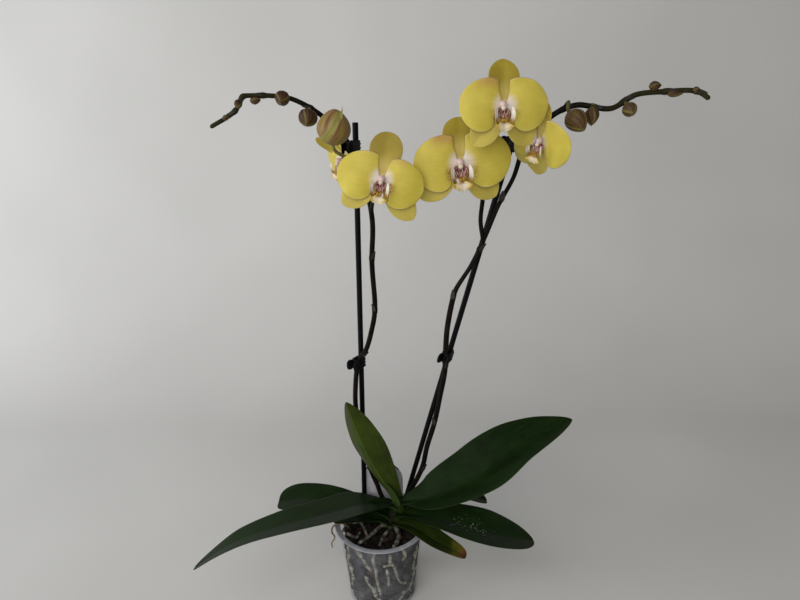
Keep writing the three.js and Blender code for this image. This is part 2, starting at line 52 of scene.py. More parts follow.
def add(tree, kind, *first, stops=(), to=None, **rest):
    """Adds a node. Its inputs are first, in order, and the names in rest that start with a
    capital; the others are settings. An input is a value, a hex code, a node or a socket. Stops
    are a ramp's places and colours, and to is the Principled socket that the node feeds."""
    node = tree.nodes.new("ShaderNode" + kind)
    inputs = dict(enumerate(first))
    for name, value in rest.items():
        if name[0].isupper():
            inputs[name.replace("_", " ")] = value
        else:
            setattr(node, name, value)
    for number, (place, colour) in enumerate(stops):
        ramp = node.color_ramp.elements
        element = ramp[number] if number < len(ramp) else ramp.new(place)
        element.position = place
        element.color = srgb(colour) if isinstance(colour, str) else (colour,) * 3 + (1,)
    for key, value in inputs.items():
        value = value.outputs[0] if isinstance(value, bpy.types.Node) else value
        if isinstance(value, bpy.types.NodeSocket):
            tree.links.new(value, node.inputs[key])
        else:
            node.inputs[key].default_value = srgb(value) if isinstance(value, str) else value
    if to:
        tree.links.new(node.outputs[0], tree.nodes["Principled BSDF"].inputs[to])
    return node


def material(name, **sockets):
    """A material of one Principled shader with its plain numbers set, its node tree, and the
    object's own coordinates in metres."""
    made = bpy.data.materials.new(name)
    made.use_nodes = True
    for socket, value in sockets.items():
        socket = socket.replace("_", " ").title().replace("Ior", "IOR")
        made.node_tree.nodes["Principled BSDF"].inputs[socket].default_value = value
    return made, made.node_tree, add(made.node_tree, "TexCoord").outputs["Object"]


sweep_width, sweep_front, sweep_wall, sweep_bend, sweep_height = 4.0, -1.3, 0.85, 0.45, 2.6
turn = np.linspace(0, np.pi / 2, 24)
run = np.array([
    [sweep_front, 0],
    *np.stack([sweep_wall - sweep_bend + sweep_bend * np.sin(turn),
               sweep_bend - sweep_bend * np.cos(turn)], -1),
    [sweep_wall, sweep_height]])
sheet = np.insert(run.repeat(2, axis=0), 0, np.tile([-1, 1], len(run)) * sweep_width / 2, axis=1)
ids = np.arange(2 * len(run)).reshape(-1, 2)
sweep_mesh = bpy.data.meshes.new("paper_sweep")
sweep_mesh.from_pydata((sheet - [0, 0, 0.0005]).tolist(), [],
                       np.hstack([ids[:-1], ids[1:, ::-1]]).tolist())
sweep_mesh.polygons.foreach_set("use_smooth", [True] * (len(run) - 1))
sweep = bpy.data.objects.new("paper_sweep", sweep_mesh)
bpy.context.collection.objects.link(sweep)
# Matt paper: a pale tone with slow, faint unevenness.
paper, tree, spot = material("matt_white_paper", roughness=0.95, specular_ior_level=0.1)
cloud = add(tree, "TexNoise", spot, Scale=2.2)
add(tree, "ValToRGB", cloud, stops=[(0.3, "#c3c2bf"), (0.7, "#cbcac7")], to="Base Color")
# The back of the sheet is clear, so that a view from behind the wall still shows the object.
sheet_side = add(tree, "NewGeometry").outputs["Backfacing"]
add(tree, "Math", 1.0, sheet_side, operation="SUBTRACT", to="Alpha")
sweep_mesh.materials.append(paper)


def lamp(name, place, aim, size, watts, colour):
    """A square soft light of a size in metres at place, turned towards aim."""
    data = bpy.data.lights.new(name, "AREA")
    data.shape, data.size, data.energy, data.color = "SQUARE", size, watts, srgb(colour)[:3]
    light = bpy.data.objects.new(name, data)
    light.location = place
    light.rotation_euler = (Vector(aim) - Vector(place)).to_track_quat("-Z", "Y").to_euler()
    bpy.context.collection.objects.link(light)


lamp("window", (-0.6, -1.7, 1.3), (0.05, 0.2, 0.4), 2.2, 38, "#fffdf9")
lamp("side_window", (-1.95, -0.35, 0.7), (-0.2, 0.85, 0.3), 1.0, 20, "#f4f7ff")
world = bpy.data.worlds.new("room_light")
world.use_nodes = True
for socket, value in (("Color", srgb("#e9ebee")), ("Strength", 0.225)):
    world.node_tree.nodes["Background"].inputs[socket].default_value = value
bpy.context.scene.world = world
bpy.context.scene.view_settings.view_transform = "Standard"

camera_place, camera_down, camera_roll = (0.028, -0.634, 0.641), 19.9, -0.74
lens = bpy.data.cameras.new("camera")
lens.sensor_width, lens.lens, lens.clip_start = 36, 27, 0.01
camera = bpy.data.objects.new("camera", lens)
camera.matrix_world = (Matrix.Translation(camera_place)
                       @ Matrix.Rotation(radians(90 - camera_down), 4, "X")
                       @ Matrix.Rotation(radians(camera_roll), 4, "Z"))
bpy.context.collection.objects.link(camera)
bpy.context.scene.camera = camera


# ---- Pot: one injection-moulded clear pot -------------------------------------------------------
# A thin tapered wall of clear polypropylene with a flat flange at the top and drain holes in the
# base. Clear polypropylene is slightly milky, and water marks and dust make the wall hazier.

pot_height, rim_radius, neck_radius, base_radius, pot_wall = 110, 60, 54.2, 45, 1.2
drain_holes, drain_radius, drain_circle = 8, 4.5, 30
neck_height = pot_height - 1.6


def piece(name, skins, finishes, stands_for=(), sharp=None):
    """One mesh of closed skins, each (rings, finish number, attributes), in millimetres. Quads
    join each ring to the next and a fan closes each end. A skin that is inside out is turned.
    Rings may be a stack of like bodies. An attribute's value is spread over its rings, and edges
    sharper than sharp degrees stay sharp."""
    points, quads, fans, numbers, values, count = [], [], [], [[], []], {}, 0
    for rings, number, attributes in skins:
        rings = np.asarray(rings, float)
        shape = rings.shape[:-1]
        rings = rings.reshape((-1,) + rings.shape[-3:])
        bodies, n, k, _ = rings.shape
        ends = rings[:, [0, -1]].mean(axis=2)
        ids = np.arange(n * k).reshape(n, k)
        nxt = np.roll(ids, -1, axis=1)
        four = np.stack([ids[:-1], ids[1:], nxt[1:], nxt[:-1]], -1).reshape(-1, 4)
        three = np.concatenate([np.stack([ids[0], nxt[0], np.full(k, n * k)], -1),
                                np.stack([nxt[-1], ids[-1], np.full(k, n * k + 1)], -1)])
        body = np.concatenate([rings.reshape(bodies, n * k, 3), ends], axis=1)
        corner = body[0][np.concatenate([four[:, :3], four[:, [0, 2, 3]], three])]
        corner = corner - body[0].mean(axis=0)
        if np.einsum("ij,ij->i", corner[:, 0], np.cross(corner[:, 1], corner[:, 2])).sum() < 0:
            four, three = four[:, ::-1], three[:, ::-1]
        start = count + np.arange(bodies)[:, None, None] * (n * k + 2)
        quads.append((four + start).reshape(-1, 4))
        fans.append((three + start).reshape(-1, 3))
        numbers[0].append(np.full(len(quads[-1]), number))
        numbers[1].append(np.full(len(fans[-1]), number))
        points.append(body.reshape(-1, 3))
        for key, value in attributes.items():
            value = np.asarray(value, float)
            depth = value.shape[len(shape):] if value.ndim > len(shape) else ()
            value = np.broadcast_to(value, shape + depth).reshape((bodies, n, k) + depth)
            tips = value[:, [0, -1]].mean(axis=2)
            value = np.concatenate([value.reshape((bodies, n * k) + depth), tips], axis=1)
            values.setdefault(key, []).append((count, value.reshape((-1,) + depth)))
        count += body.shape[0] * body.shape[1]
    mesh = bpy.data.meshes.new(name)
    faces = np.concatenate(quads).tolist() + np.concatenate(fans).tolist()
    mesh.from_pydata((np.concatenate(points) / 1000).tolist(), [], faces)
    mesh.polygons.foreach_set("material_index", np.concatenate(numbers[0] + numbers[1]))
    mesh.polygons.foreach_set("use_smooth", np.ones(len(faces), bool))
    for key, parts in values.items():
        whole = np.zeros((count,) + parts[0][1].shape[1:])
        for start, value in parts:
            whole[start:start + len(value)] = value
        kind, field = ("FLOAT_VECTOR", "vector") if whole.ndim > 1 else ("FLOAT", "value")
        mesh.attributes.new(key, kind, "POINT").data.foreach_set(field, whole.ravel())
    if sharp:
        mesh.set_sharp_from_angle(angle=radians(sharp))
    for finish in finishes:
        mesh.materials.append(finish)
    made = bpy.data.objects.new(name, mesh)
    bpy.context.collection.objects.link(made)
    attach(made, "root")
    if stands_for:
        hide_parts(*stands_for)
    return made


def polar(radius, angle, height):
    """Points at a radius and an angle in radians round Z, and at a height."""
    points = np.broadcast_arrays(radius * np.cos(angle), radius * np.sin(angle), height)
    return np.stack(points, -1)


def lathe(profile, segments):
    """Rings of a solid of revolution: each profile point [radius, height] swept round Z."""
    radius, height = np.asarray(profile, float).T[:, :, None]
    return polar(radius, np.linspace(0, 2 * np.pi, segments, endpoint=False), height)


def inner_radius(z):
    """Inside radius of the pot wall at height z: a straight taper from base to neck."""
    return base_radius - pot_wall + (neck_radius - base_radius) * np.asarray(z) / neck_height


def pot_profile():
    """The wall's outline from the middle of the underside, up outside and back down inside."""
    low, high = np.linspace(2, neck_height - 0.5, 40), np.linspace(neck_height - 1, 2.4, 40)
    outside = np.stack([inner_radius(low) + pot_wall, low], -1)
    inside = np.stack([inner_radius(high), high], -1)
    flange = [[neck_radius + 0.35, neck_height - 0.1], [neck_radius + 1, neck_height],
              [rim_radius - 0.9, neck_height], [rim_radius - 0.3, neck_height + 0.15],
              [rim_radius, neck_height + 0.7], [rim_radius - 0.2, pot_height - 0.25],
              [rim_radius - 0.8, pot_height], [neck_radius + 0.4, pot_height],
              [neck_radius - 0.5, pot_height - 0.3], [neck_radius - 1.1, pot_height - 1.1]]
    return np.array([[0.5, 0], [20, 0], [base_radius - 1.2, 0], [base_radius - 0.4, 0.3],
                     [base_radius, 1], *outside, *flange, *inside,
                     [inner_radius(1.8) - 0.4, 1.5], [inner_radius(1.2) - 1.2, pot_wall],
                     [20, pot_wall], [0.5, pot_wall]])


# Clear polypropylene, injection moulded: milky, half see-through, with faint marks of dried
# water, and denser where the flange is seen edge on.
clear_plastic, tree, spot = material(
    "clear_polypropylene_moulded", roughness=0.22, ior=1.49, specular_ior_level=0.5)
fine = add(tree, "TexNoise", spot, Scale=90, Detail=4, Roughness=0.55)
large = add(tree, "TexNoise", spot, Scale=20)
mixed = add(tree, "Math", fine, large, operation="MULTIPLY")
height = add(tree, "SeparateXYZ", spot)
flange = add(tree, "MapRange", height.outputs["Z"], 0.1045, 0.1085, 0.0, 0.75)
haze = add(tree, "MapRange", mixed, 0.15, 0.4, 0.07, 0.2)
add(tree, "Math", haze, flange, operation="ADD", to="Alpha")
add(tree, "ValToRGB", fine, stops=[(0.3, "#8a8c92"), (0.7, "#a3a5aa")], to="Base Color")
add(tree, "MapRange", mixed, 0.1, 0.45, 0.14, 0.4, to="Roughness")

pot = piece("pot_clear", [(lathe(pot_profile(), 160), 0, {})], [clear_plastic],
            ["pot"], sharp=50)
angles = np.arange(drain_holes) * 2 * np.pi / drain_holes
pins = lathe([[drain_radius, -2], [drain_radius, pot_wall + 2]], 28)
pins = pins + polar(drain_circle, angles, 0)[:, None, None]
cutter = piece("drain_pins", [(pins, 0, {})], [clear_plastic])
cut = pot.modifiers.new("drain", "BOOLEAN")
cut.operation, cut.solver, cut.object = "DIFFERENCE", "EXACT", cutter
bpy.context.view_layer.objects.active = pot
bpy.ops.object.modifier_apply(modifier="drain")
bpy.data.objects.remove(cutter)


# ---- Bark: graded pine bark, packed round the roots ---------------------------------------------
# Flat broken chips of fir or pine bark, 6 to 16 mm long, fill the pot to just under the rim and
# lie against its wall, a few of them freshly split and reddish, with some grains of perlite.

bark_top, chip_seed = 97, 7


def spin(turns):
    """Rotation matrices from rows of three angles: about x, then y, then z."""
    (cx, cy, cz), (sx, sy, sz) = np.cos(turns).T, np.sin(turns).T
    return np.stack([
        np.stack([cz * cy, cz * sy * sx - sz * cx, cz * sy * cx + sz * sx], -1),
        np.stack([sz * cy, sz * sy * sx + cz * cx, sz * sy * cx - cz * sx], -1),
        np.stack([-sy, cy * sx, cy * cx], -1)], -2)


def chips(random, count, length, tilt):
    """Rings of broken flat chips round the origin: a many-cornered outline with its own radii,
    drawn in towards the two faces, then tilted by up to tilt radians."""
    corner = np.linspace(0, 2 * np.pi, 7, endpoint=False)
    radii = random.uniform(0.6, 1.15, (count, 1, 7))
    size = random.uniform(*length, (count, 1, 1)) / 2
    slim = random.uniform(0.45, 0.85, (count, 1, 1))
    thick = size * random.uniform(0.22, 0.42, (count, 1, 1))
    level = np.array([-1, -0.55, 0.6, 1])[None, :, None]
    inset = np.array([0.7, 1, 0.96, 0.72])[None, :, None]
    wide = radii * inset * random.uniform(0.93, 1.07, (count, 4, 7))
    points = np.stack([wide * size * np.cos(corner), wide * size * slim * np.sin(corner),
                       thick * level * random.uniform(0.8, 1.2, (count, 4, 7))], -1)
    turns = np.stack([random.uniform(-tilt, tilt, count), random.uniform(-tilt, tilt, count),
                      random.uniform(0, 2 * np.pi, count)], -1)
    return np.einsum("aij,abcj->abci", spin(turns), points)


random = np.random.default_rng(chip_seed)
top_count, wall_count = 230, 560
top_chips = chips(random, top_count, (6, 15), 0.6)
around, out = random.uniform(0, 2 * np.pi, top_count), np.sqrt(random.uniform(0.0, 1, top_count))
top_chips = top_chips + polar(out * (inner_radius(bark_top) - 7), around,
                              random.uniform(91.5, 97.5, top_count))[:, None, None]
wall_chips = chips(random, wall_count, (6, 16), 0.35)
climb = random.uniform(4, 93, wall_count)[:, None, None]
swing = random.uniform(0, 2 * np.pi, wall_count)[:, None, None]
depth = random.uniform(2.6, 5.5, wall_count)[:, None, None] - wall_chips[..., 2]
wall_height = np.clip(wall_chips[..., 1] + climb, 1.8, 97)
radius = inner_radius(wall_height) - np.maximum(depth, 0.7)
swing = swing + wall_chips[..., 0] / radius
wall_chips = polar(radius, swing, wall_height)

# Pine bark, broken and composted: dull brown-black plates with a corky grain and fine cracks. A
# few chips are freshly split and paler or reddish, and a few grains are white perlite.
pine_bark, tree, spot = material("pine_bark_chips", roughness=0.9, specular_ior_level=0.25)
own = add(tree, "Attribute", attribute_name="tone").outputs["Fac"]
kinds = add(tree, "ValToRGB", own, stops=[
    (0.0, "#120d0a"), (0.35, "#1f1713"), (0.62, "#2d2119"), (0.86, "#3f2f25"), (0.94, "#5a3024"),
    (0.96, "#281d17"), (0.993, "#9b978e")])
kinds.color_ramp.interpolation = "CONSTANT"
grain = add(tree, "TexNoise", spot, Scale=420, Detail=6, Roughness=0.7)
crack = add(tree, "TexVoronoi", spot, Scale=260, feature="DISTANCE_TO_EDGE")
shade = add(tree, "ValToRGB", grain, stops=[(0.3, 0.35), (0.72, 1.0)])
add(tree, "MixRGB", 0.85, kinds, shade, blend_type="MULTIPLY", to="Base Color")
relief = add(tree, "Math", grain, crack, operation="ADD")
add(tree, "Bump", Height=relief, Strength=0.7, Distance=0.0012, to="Normal")

# The core under the chips takes the darkest tone: painted shade deep in the gaps between chips.
core_rise = np.linspace(3, 92, 12)
core_side = np.stack([inner_radius(core_rise) - 4.5, core_rise], -1)
core = lathe([[0.4, 1.8], [36, 1.8], *core_side, [44, 94], [24, 95], [0.4, 95.5]], 72)
piece("bark_chips", [
    (core, 0, {"tone": 0.05}),
    (top_chips, 0, {"tone": random.uniform(0, 1, (top_count, 1, 1))}),
    (wall_chips, 0, {"tone": random.uniform(0, 1, (wall_count, 1, 1))}),
], [pine_bark], ["bark_medium"], sharp=28)


# ---- Roots: aerial roots over the bark, roots against the wall, and one dried root --------------
# Phalaenopsis roots are round, 3 to 6 mm thick, in a spongy silver skin (velamen) that turns
# olive when wet. They wander, swell and pinch. A dead one shrinks to a wiry brown thread.

def follow(points, share):
    """Points at shares 0..1 of a centripetal Catmull-Rom curve, equal shares between points. On
    each stretch the end slopes come from the square roots of the gaps, joined by a cubic."""
    p = np.asarray(points, float)
    p = np.concatenate([[2 * p[0] - p[1]], p, [2 * p[-1] - p[-2]]])
    place = np.asarray(share) * (len(p) - 3)
    i = np.clip(place.astype(int), 0, len(p) - 4)
    w = (place - i)[..., None]
    p0, p1, p2, p3 = (p[i + k] for k in range(4))
    d0, d1, d2 = (np.sqrt(np.linalg.norm(b - a, axis=-1, keepdims=True))
                  for a, b in ((p0, p1), (p1, p2), (p2, p3)))
    m1 = d1 * ((p1 - p0) / d0 - (p2 - p0) / (d0 + d1) + (p2 - p1) / d1)
    m2 = d1 * ((p2 - p1) / d1 - (p3 - p1) / (d1 + d2) + (p3 - p2) / d2)
    return (p1 + m1 * w + (3 * (p2 - p1) - 2 * m1 - m2) * w ** 2
            + (2 * (p1 - p2) + m1 + m2) * w ** 3)


def unit(vectors):
    """Each vector divided by its length."""
    return vectors / np.linalg.norm(vectors, axis=-1, keepdims=True)


def heading(points, share):
    """Direction of the curve at each share, from two points 0.0002 apart."""
    share = np.asarray(share)
    return unit(follow(points, np.minimum(share + 1e-4, 1))
                - follow(points, np.maximum(share - 1e-4, 0)))


def even(points, steps):
    """Shares that cut the curve into equal lengths, and the length passed at each, in mm."""
    fine_share = np.linspace(0, 1, 600)
    gaps = np.linalg.norm(np.diff(follow(points, fine_share), axis=0), axis=1)
    passed = np.concatenate([[0], np.cumsum(gaps)])
    length = np.linspace(0, passed[-1], steps)
    return np.interp(length, passed, fine_share), length


def tube(centres, radius, sides, aim):
    """Rings round a line of centres. A ring's side is across the line and aim, its face across
    both, and radius may change along and around it."""
    centres = np.asarray(centres, float)
    way = unit(np.gradient(centres, axis=0))
    side = unit(np.cross(way, aim))
    face = np.cross(side, way)
    phi = np.linspace(0, 2 * np.pi, sides, endpoint=False)
    ring = np.cos(phi)[:, None] * side[:, None] + np.sin(phi)[:, None] * face[:, None]
    radius = np.asarray(radius, float)
    radius = radius if radius.ndim == 2 else radius.reshape(-1, 1)
    return centres[:, None] + radius[..., None] * ring


def rounded(length, radius):
    """Radius along a rod with round ends: inside one radius of an end it follows a circle."""
    near = np.clip(np.minimum(length, length[-1] - length) / radius, 0.02, 1)
    return radius * np.sqrt(1 - (1 - near) ** 2)


def waves(points, size, seed):
    """A smooth random height, about -1..1, at points in mm: 1.6 times the mean of seven sine
    waves about size long, each with its own direction and phase."""
    count, random = 7, np.random.default_rng(seed)
    way = unit(random.normal(size=(count, 3))) / (size * random.uniform(0.6, 1.5, (count, 1)))
    phase = random.uniform(0, 2 * np.pi, count)
    return np.sin(2 * np.pi * points @ way.T + phase).mean(-1) * 1.6


crown_points = [[9, 2, 84], [13, 4, 104], [19, 8, 122], [22, 8, 136]]


def crown_swell(t):
    """Crown radius at share t of its height: 8 mm times 0.8 + 0.2 sin 3t."""
    return 8 * (0.8 + 0.2 * np.sin(3 * t))


def crown_seat(t, azimuth):
    """A point 1.5 mm under the crown's skin at share t of its height, towards azimuth."""
    share, length = even(crown_points, 201)
    middle = follow(crown_points, np.interp(t, length / length[-1], share))
    return middle + polar(crown_swell(t) - 1.5, radians(azimuth), 0)


def root_skin(points, thickness, seed, aim=(0, 0, 1), steps=70, sides=20):
    """A wandering root: a tube whose centre line sways 0.4 mm and whose radius swells and
    pinches by a tenth, drawn to a blunt tip."""
    share, length = even(points, steps)
    centres = follow(points, share)
    centres = centres + 0.4 * np.stack([waves(centres, 14, seed + k) for k in range(3)], -1)
    radius = rounded(length, thickness) * (1 - 0.25 * (length / length[-1]) ** 4)
    rings = tube(centres, radius, sides, aim)
    rings = tube(centres, radius[:, None] * (1 + 0.1 * waves(rings, 5, seed)), sides, aim)
    return rings, 0, {"along": (length + 40 * seed)[:, None]}


# Velamen: a dry spongy skin, silver-grey with olive showing through, ringed by darker bands where
# it has been wet, and rough as fine felt. Over the bark its colours are darkened as painted shade
# under the leaves; inside the pot it is paler.
velamens = {}
for name, stops in {
    "root_velamen_painted_shade": [(0.34, "#1f1d16"), (0.42, "#36332a"), (0.5, "#545146"),
                           (0.6, "#74716a"), (0.7, "#959287")],
    "root_velamen_washed": [(0.34, "#33302a"), (0.42, "#5a574c"), (0.5, "#84816f"),
                            (0.6, "#a5a394"), (0.7, "#c3c1b4")]}.items():
    velamen, tree, spot = material(name, roughness=0.85, specular_ior_level=0.2)
    along = add(tree, "Attribute", attribute_name="along").outputs["Fac"]
    patch = add(tree, "TexNoise", spot, Scale=190, Detail=5, Roughness=0.65)
    band = add(tree, "TexNoise", W=along, Scale=0.16, Detail=3, noise_dimensions="1D")
    both = add(tree, "Math", patch, band, operation="ADD")
    halved = add(tree, "Math", both, 0.5, operation="MULTIPLY")
    add(tree, "ValToRGB", halved, stops=stops, to="Base Color")
    felt = add(tree, "TexNoise", spot, Scale=900, Detail=4, Roughness=0.7)
    add(tree, "Bump", Height=felt, Strength=0.5, Distance=0.0006, to="Normal")
    velamens[name] = velamen
# The darker copy, used on the roots over the bark, is painted shade under the leaves.
velamen = velamens["root_velamen_painted_shade"]

crown_roots = {
    "left": ([crown_seat(0.33, 222), [0, -4, 102.5], [-9, -14, 101.6], [-20, -25, 100.6],
              [-29, -33, 99.8]], 2.3, 1),
    "middle": ([crown_seat(0.33, 264), [10, -10, 102], [4, -20, 101.4], [-2, -37, 100.4]], 2.1, 2),
    "right": ([crown_seat(0.33, 305), [20, -10, 102.6], [23, -22, 102], [19, -35, 101],
               [15, -41, 100.6]], 2.9, 3),
}
for name, root in crown_roots.items():
    piece(f"root_{name}_skin", [root_skin(*root)], [velamen], [f"root_{name}"])
bark_roots = [
    ([[-42, 12, 98], [-38, 6, 101], [-28, 5, 101.5], [-19, -15, 101], [-15, -22, 97]], 2.0, 4),
    ([[-47, -4, 98], [-46, -10, 100.5], [-39, -18, 101], [-31, -21, 100.5], [-28, -14, 99.5],
      [-27, -8, 97]], 1.9, 5),
    ([[-50, -9, 98], [-48, -6, 100], [-45, 2, 101], [-40, 6, 100.5], [-36, 8, 97]], 1.5, 6),
    ([[-2, 34, 97], [5.5, 28, 101], [11, 10, 101.5], [12, 6, 98]], 2.3, 7),
    ([[16, 6, 98], [32, 14, 100], [44, 8, 99], [47, -6, 96]], 2.3, 9),
]
piece("roots_on_bark", [root_skin(*root) for root in bark_roots], [velamen])


def wall_root(path, thickness, seed):
    """A root pressed against the pot's wall, from [azimuth in degrees, height, depth] points."""
    azimuth, height, depth = np.asarray(path, float).T
    out = inner_radius(height) - thickness - 0.35 - depth
    return root_skin(polar(out, np.radians(azimuth), height), thickness, seed,
                     aim=(0.01, 0.02, 1), steps=90, sides=16)


wall_paths = [
    ([[228, 100, 4], [235, 94, 0], [242, 89, 0], [247, 79, 0], [253, 72, 0], [258, 64, 3]], 1.9),
    ([[262, 101, 5], [259, 85, 0], [262, 74, 0], [264, 51, 0], [267, 37, 0], [268, 17, 2]], 1.7),
    ([[243, 56, 3], [248, 48, 0], [256, 39, 0], [260, 28, 0], [268, 20, 0], [272, 9, 3]], 2.3),
    ([[287, 101, 5], [284, 84, 0], [290, 76, 0], [295, 58, 0], [300, 46, 0], [312, 38, 0],
      [319, 35, 4]], 1.9),
    ([[273, 76, 3], [278, 80, 0], [282, 80, 0], [286, 77, 2]], 1.2),
    ([[279, 70, 3], [280, 63, 0], [282, 48, 0], [283, 40, 3]], 1.4),
    ([[340, 22, 3], [334, 25, 0], [324, 24, 0], [316, 22, 0], [303, 14, 0], [295, 6, 3]], 2.0),
    ([[303, 101, 4], [306, 93, 0], [309, 85, 0], [305, 77, 3]], 1.7),
    ([[205, 95, 4], [212, 80, 0], [206, 62, 0], [214, 44, 0], [209, 24, 0], [216, 8, 2]], 2.2),
    ([[178, 92, 4], [184, 74, 0], [176, 58, 0], [186, 40, 0], [196, 26, 0], [190, 8, 2]], 1.9),
    ([[332, 95, 4], [338, 78, 0], [330, 60, 0], [336, 42, 0], [326, 24, 0], [332, 8, 2]], 2.1),
    ([[4, 93, 4], [10, 76, 0], [2, 60, 0], [12, 44, 0], [6, 26, 0], [14, 8, 2]], 2.0),
    ([[35, 94, 4], [44, 80, 0], [38, 60, 0], [50, 42, 0], [62, 30, 0], [58, 10, 2]], 2.2),
    ([[80, 95, 4], [74, 78, 0], [84, 60, 0], [92, 46, 0], [86, 26, 0], [94, 8, 2]], 1.9),
    ([[116, 94, 4], [124, 76, 0], [114, 60, 0], [126, 44, 0], [136, 28, 0], [130, 8, 2]], 2.1),
    ([[150, 95, 4], [156, 78, 0], [148, 62, 0], [158, 46, 0], [150, 28, 0], [160, 10, 2]], 2.0),
]
piece("roots_in_pot", [wall_root(path, 1.2 * thickness, 20 + i)
                       for i, (path, thickness) in enumerate(wall_paths)],
      [velamens["root_velamen_washed"]])

dry_points = [[-42, -2, 99.5], [-49, -6.5, 109.5], [-55, -10, 112.8], [-61.6, -12.4, 109],
              [-62.8, -12.4, 100.5], [-60, -12.4, 94.8], [-60.2, -12.4, 90.6], [-64, -12.4, 84],
              [-63.4, -12.4, 76]]


def grained(name, noise, stops, relief, **sockets):
    """A material whose one noise sets both its tone and its relief."""
    made, tree, spot = material(name, **sockets)
    grain = add(tree, "TexNoise", spot, **noise)
    add(tree, "ValToRGB", grain, stops=stops, to="Base Color")
    add(tree, "Bump", Height=grain, **relief, to="Normal")
    return made


# A dead root: the velamen has shrunk on to its wiry core, dull brown with paler flakes.
dead_root = grained(
    "dried_root", dict(Scale=500, Detail=5, Roughness=0.7),
    [(0.32, "#3a2c1c"), (0.5, "#6d5a40"), (0.68, "#988766")],
    dict(Strength=0.6, Distance=0.0005), roughness=0.9, specular_ior_level=0.2)
dry_radius, dry_aim = 1.1, (0, 1, 0.05)
share, length = even(dry_points, 110)
centres = follow(dry_points, share)
radius = rounded(length, dry_radius) * (1 - 0.4 * (length / length[-1]) ** 2)
radius = radius[:, None] * (1 + 0.25 * waves(tube(centres, radius, 12, dry_aim), 2.5, 31))
piece("root_dry_thread", [(tube(centres, radius, 12, dry_aim), 0, {})], [dead_root],
      ["root_dry"])


# ---- Label: the grower's plant tag --------------------------------------------------------------
# A die-cut tag of 0.8 mm polypropylene pushed into the bark behind the crown. Its head has a
# round top and square shoulders over a narrow tongue. It is bare but for a plain dark arc.

label_width, label_middle, label_back = 56, 0.7, 36
label_shoulder, label_top, label_tongue, label_foot, label_thick = 104, 172.5, 20, 45, 0.8


def label_outline():
    """Corner points of the tag in its plane: tongue, shoulders, straight sides, half circle."""
    half, narrow = label_width / 2, label_tongue / 2
    arc = np.linspace(0, np.pi, 49)
    head = np.stack([half * np.cos(arc), label_top - half + half * np.sin(arc)], -1)
    side = np.linspace(label_shoulder + 1.2, label_top - half - 1.5, 10)
    return np.concatenate([
        [[-narrow + 3, label_foot], [narrow - 3, label_foot], [narrow, label_foot + 3],
         [narrow, label_shoulder - 1], [narrow + 1, label_shoulder], [half - 1, label_shoulder]],
        np.stack([half + 0 * side, side], -1), head, np.stack([-half + 0 * side, side[::-1]], -1),
        [[-half + 1, label_shoulder], [-narrow - 1, label_shoulder], [-narrow, label_shoulder - 1],
         [-narrow, label_foot + 3]]])


outer = label_outline()
inset = unit(np.roll(outer, -1, axis=0) - np.roll(outer, 1, axis=0))
inset = np.stack([-inset[:, 1], inset[:, 0]], -1)
steps = [(0.25, -0.5), (0, -0.3), (0, 0.3), (0.25, 0.5)]
tag = np.stack([np.stack([outer[:, 0] + label_middle + shrink * inset[:, 0],
                          label_back + label_thick * place + 0 * outer[:, 0],
                          outer[:, 1] + shrink * inset[:, 1]], -1) for shrink, place in steps])

# Polypropylene sheet, printed and die cut: pale grey, with one plain dark band inside its top arc.
tag_sheet, tree, spot = material("printed_polypropylene_sheet", roughness=0.45)
arc_centre = (label_middle / 1000, 0, (label_top - label_width / 2) / 1000)
arc_centre = add(tree, "VectorMath", spot, arc_centre, operation="SUBTRACT")
flat = add(tree, "VectorMath", arc_centre, (1, 0, 1), operation="MULTIPLY")
ring = add(tree, "VectorMath", flat, operation="LENGTH")
height = add(tree, "SeparateXYZ", arc_centre).outputs["Z"]
above = add(tree, "MapRange", height, 0.015, 0.0156)
printed = add(tree, "MapRange", ring.outputs["Value"], 0.0258, 0.0262)
inked = add(tree, "Math", above, printed, operation="MULTIPLY")
speck = add(tree, "TexNoise", spot, Scale=120, Detail=4)
tone = add(tree, "ValToRGB", speck, stops=[(0.3, "#a4a2a8"), (0.7, "#b9b7bd")])
add(tree, "MixRGB", inked, tone, "#2b2a33", to="Base Color")
add(tree, "Bump", Height=speck, Strength=0.1, Distance=0.0004, to="Normal")
piece("label_tag", [(tag, 0, {})], [tag_sheet], ["plant_label"], sharp=40)


# ---- Crown: the short stem that the leaves sheathe ----------------------------------------------
# A stubby upright stem, all of it wrapped in the bases of leaves. Each base leaves a raised ring,
# dark green at the growing top and brown and papery low down, all darkened as painted shade.

share, length = even(crown_points, 60)
t = length / length[-1]
centres = follow(crown_points, share)
ring_step = 7
collar = 0.9 * np.abs(np.sin(np.pi * length / ring_step)) ** 0.5 - 0.9
crown_radius = crown_swell(t) + collar
crown_radius[[0, -1]] *= 0.35
crown_radius[[1, -2]] *= 0.75
# Leaf sheath: smooth and waxy above. It darkens towards the bottom, partly brown and dry and
# partly painted shade, and all its tones are near black as painted shade under the leaves.
sheath, tree, spot = material("leaf_sheath_painted_shade", roughness=0.7, specular_ior_level=0.1)
height = add(tree, "SeparateXYZ", spot)
mottle = add(tree, "TexNoise", spot, Scale=150, Detail=4)
lifted = add(tree, "Math", mottle, 0.012, height.outputs["Z"], operation="MULTIPLY_ADD")
aged = add(tree, "MapRange", lifted, 0.1, 0.142)
add(tree, "ValToRGB", aged, to="Base Color",
    stops=[(0.0, "#0d0a08"), (0.3, "#15130b"), (0.6, "#141a0b"), (1.0, "#1f2c10")])
add(tree, "Bump", Height=mottle, Strength=0.3, Distance=0.0006, to="Normal")
piece("crown_stem", [(tube(centres, crown_radius, 40, (0, 1, 0)), 0, {})], [sheath],
      ["crown"])


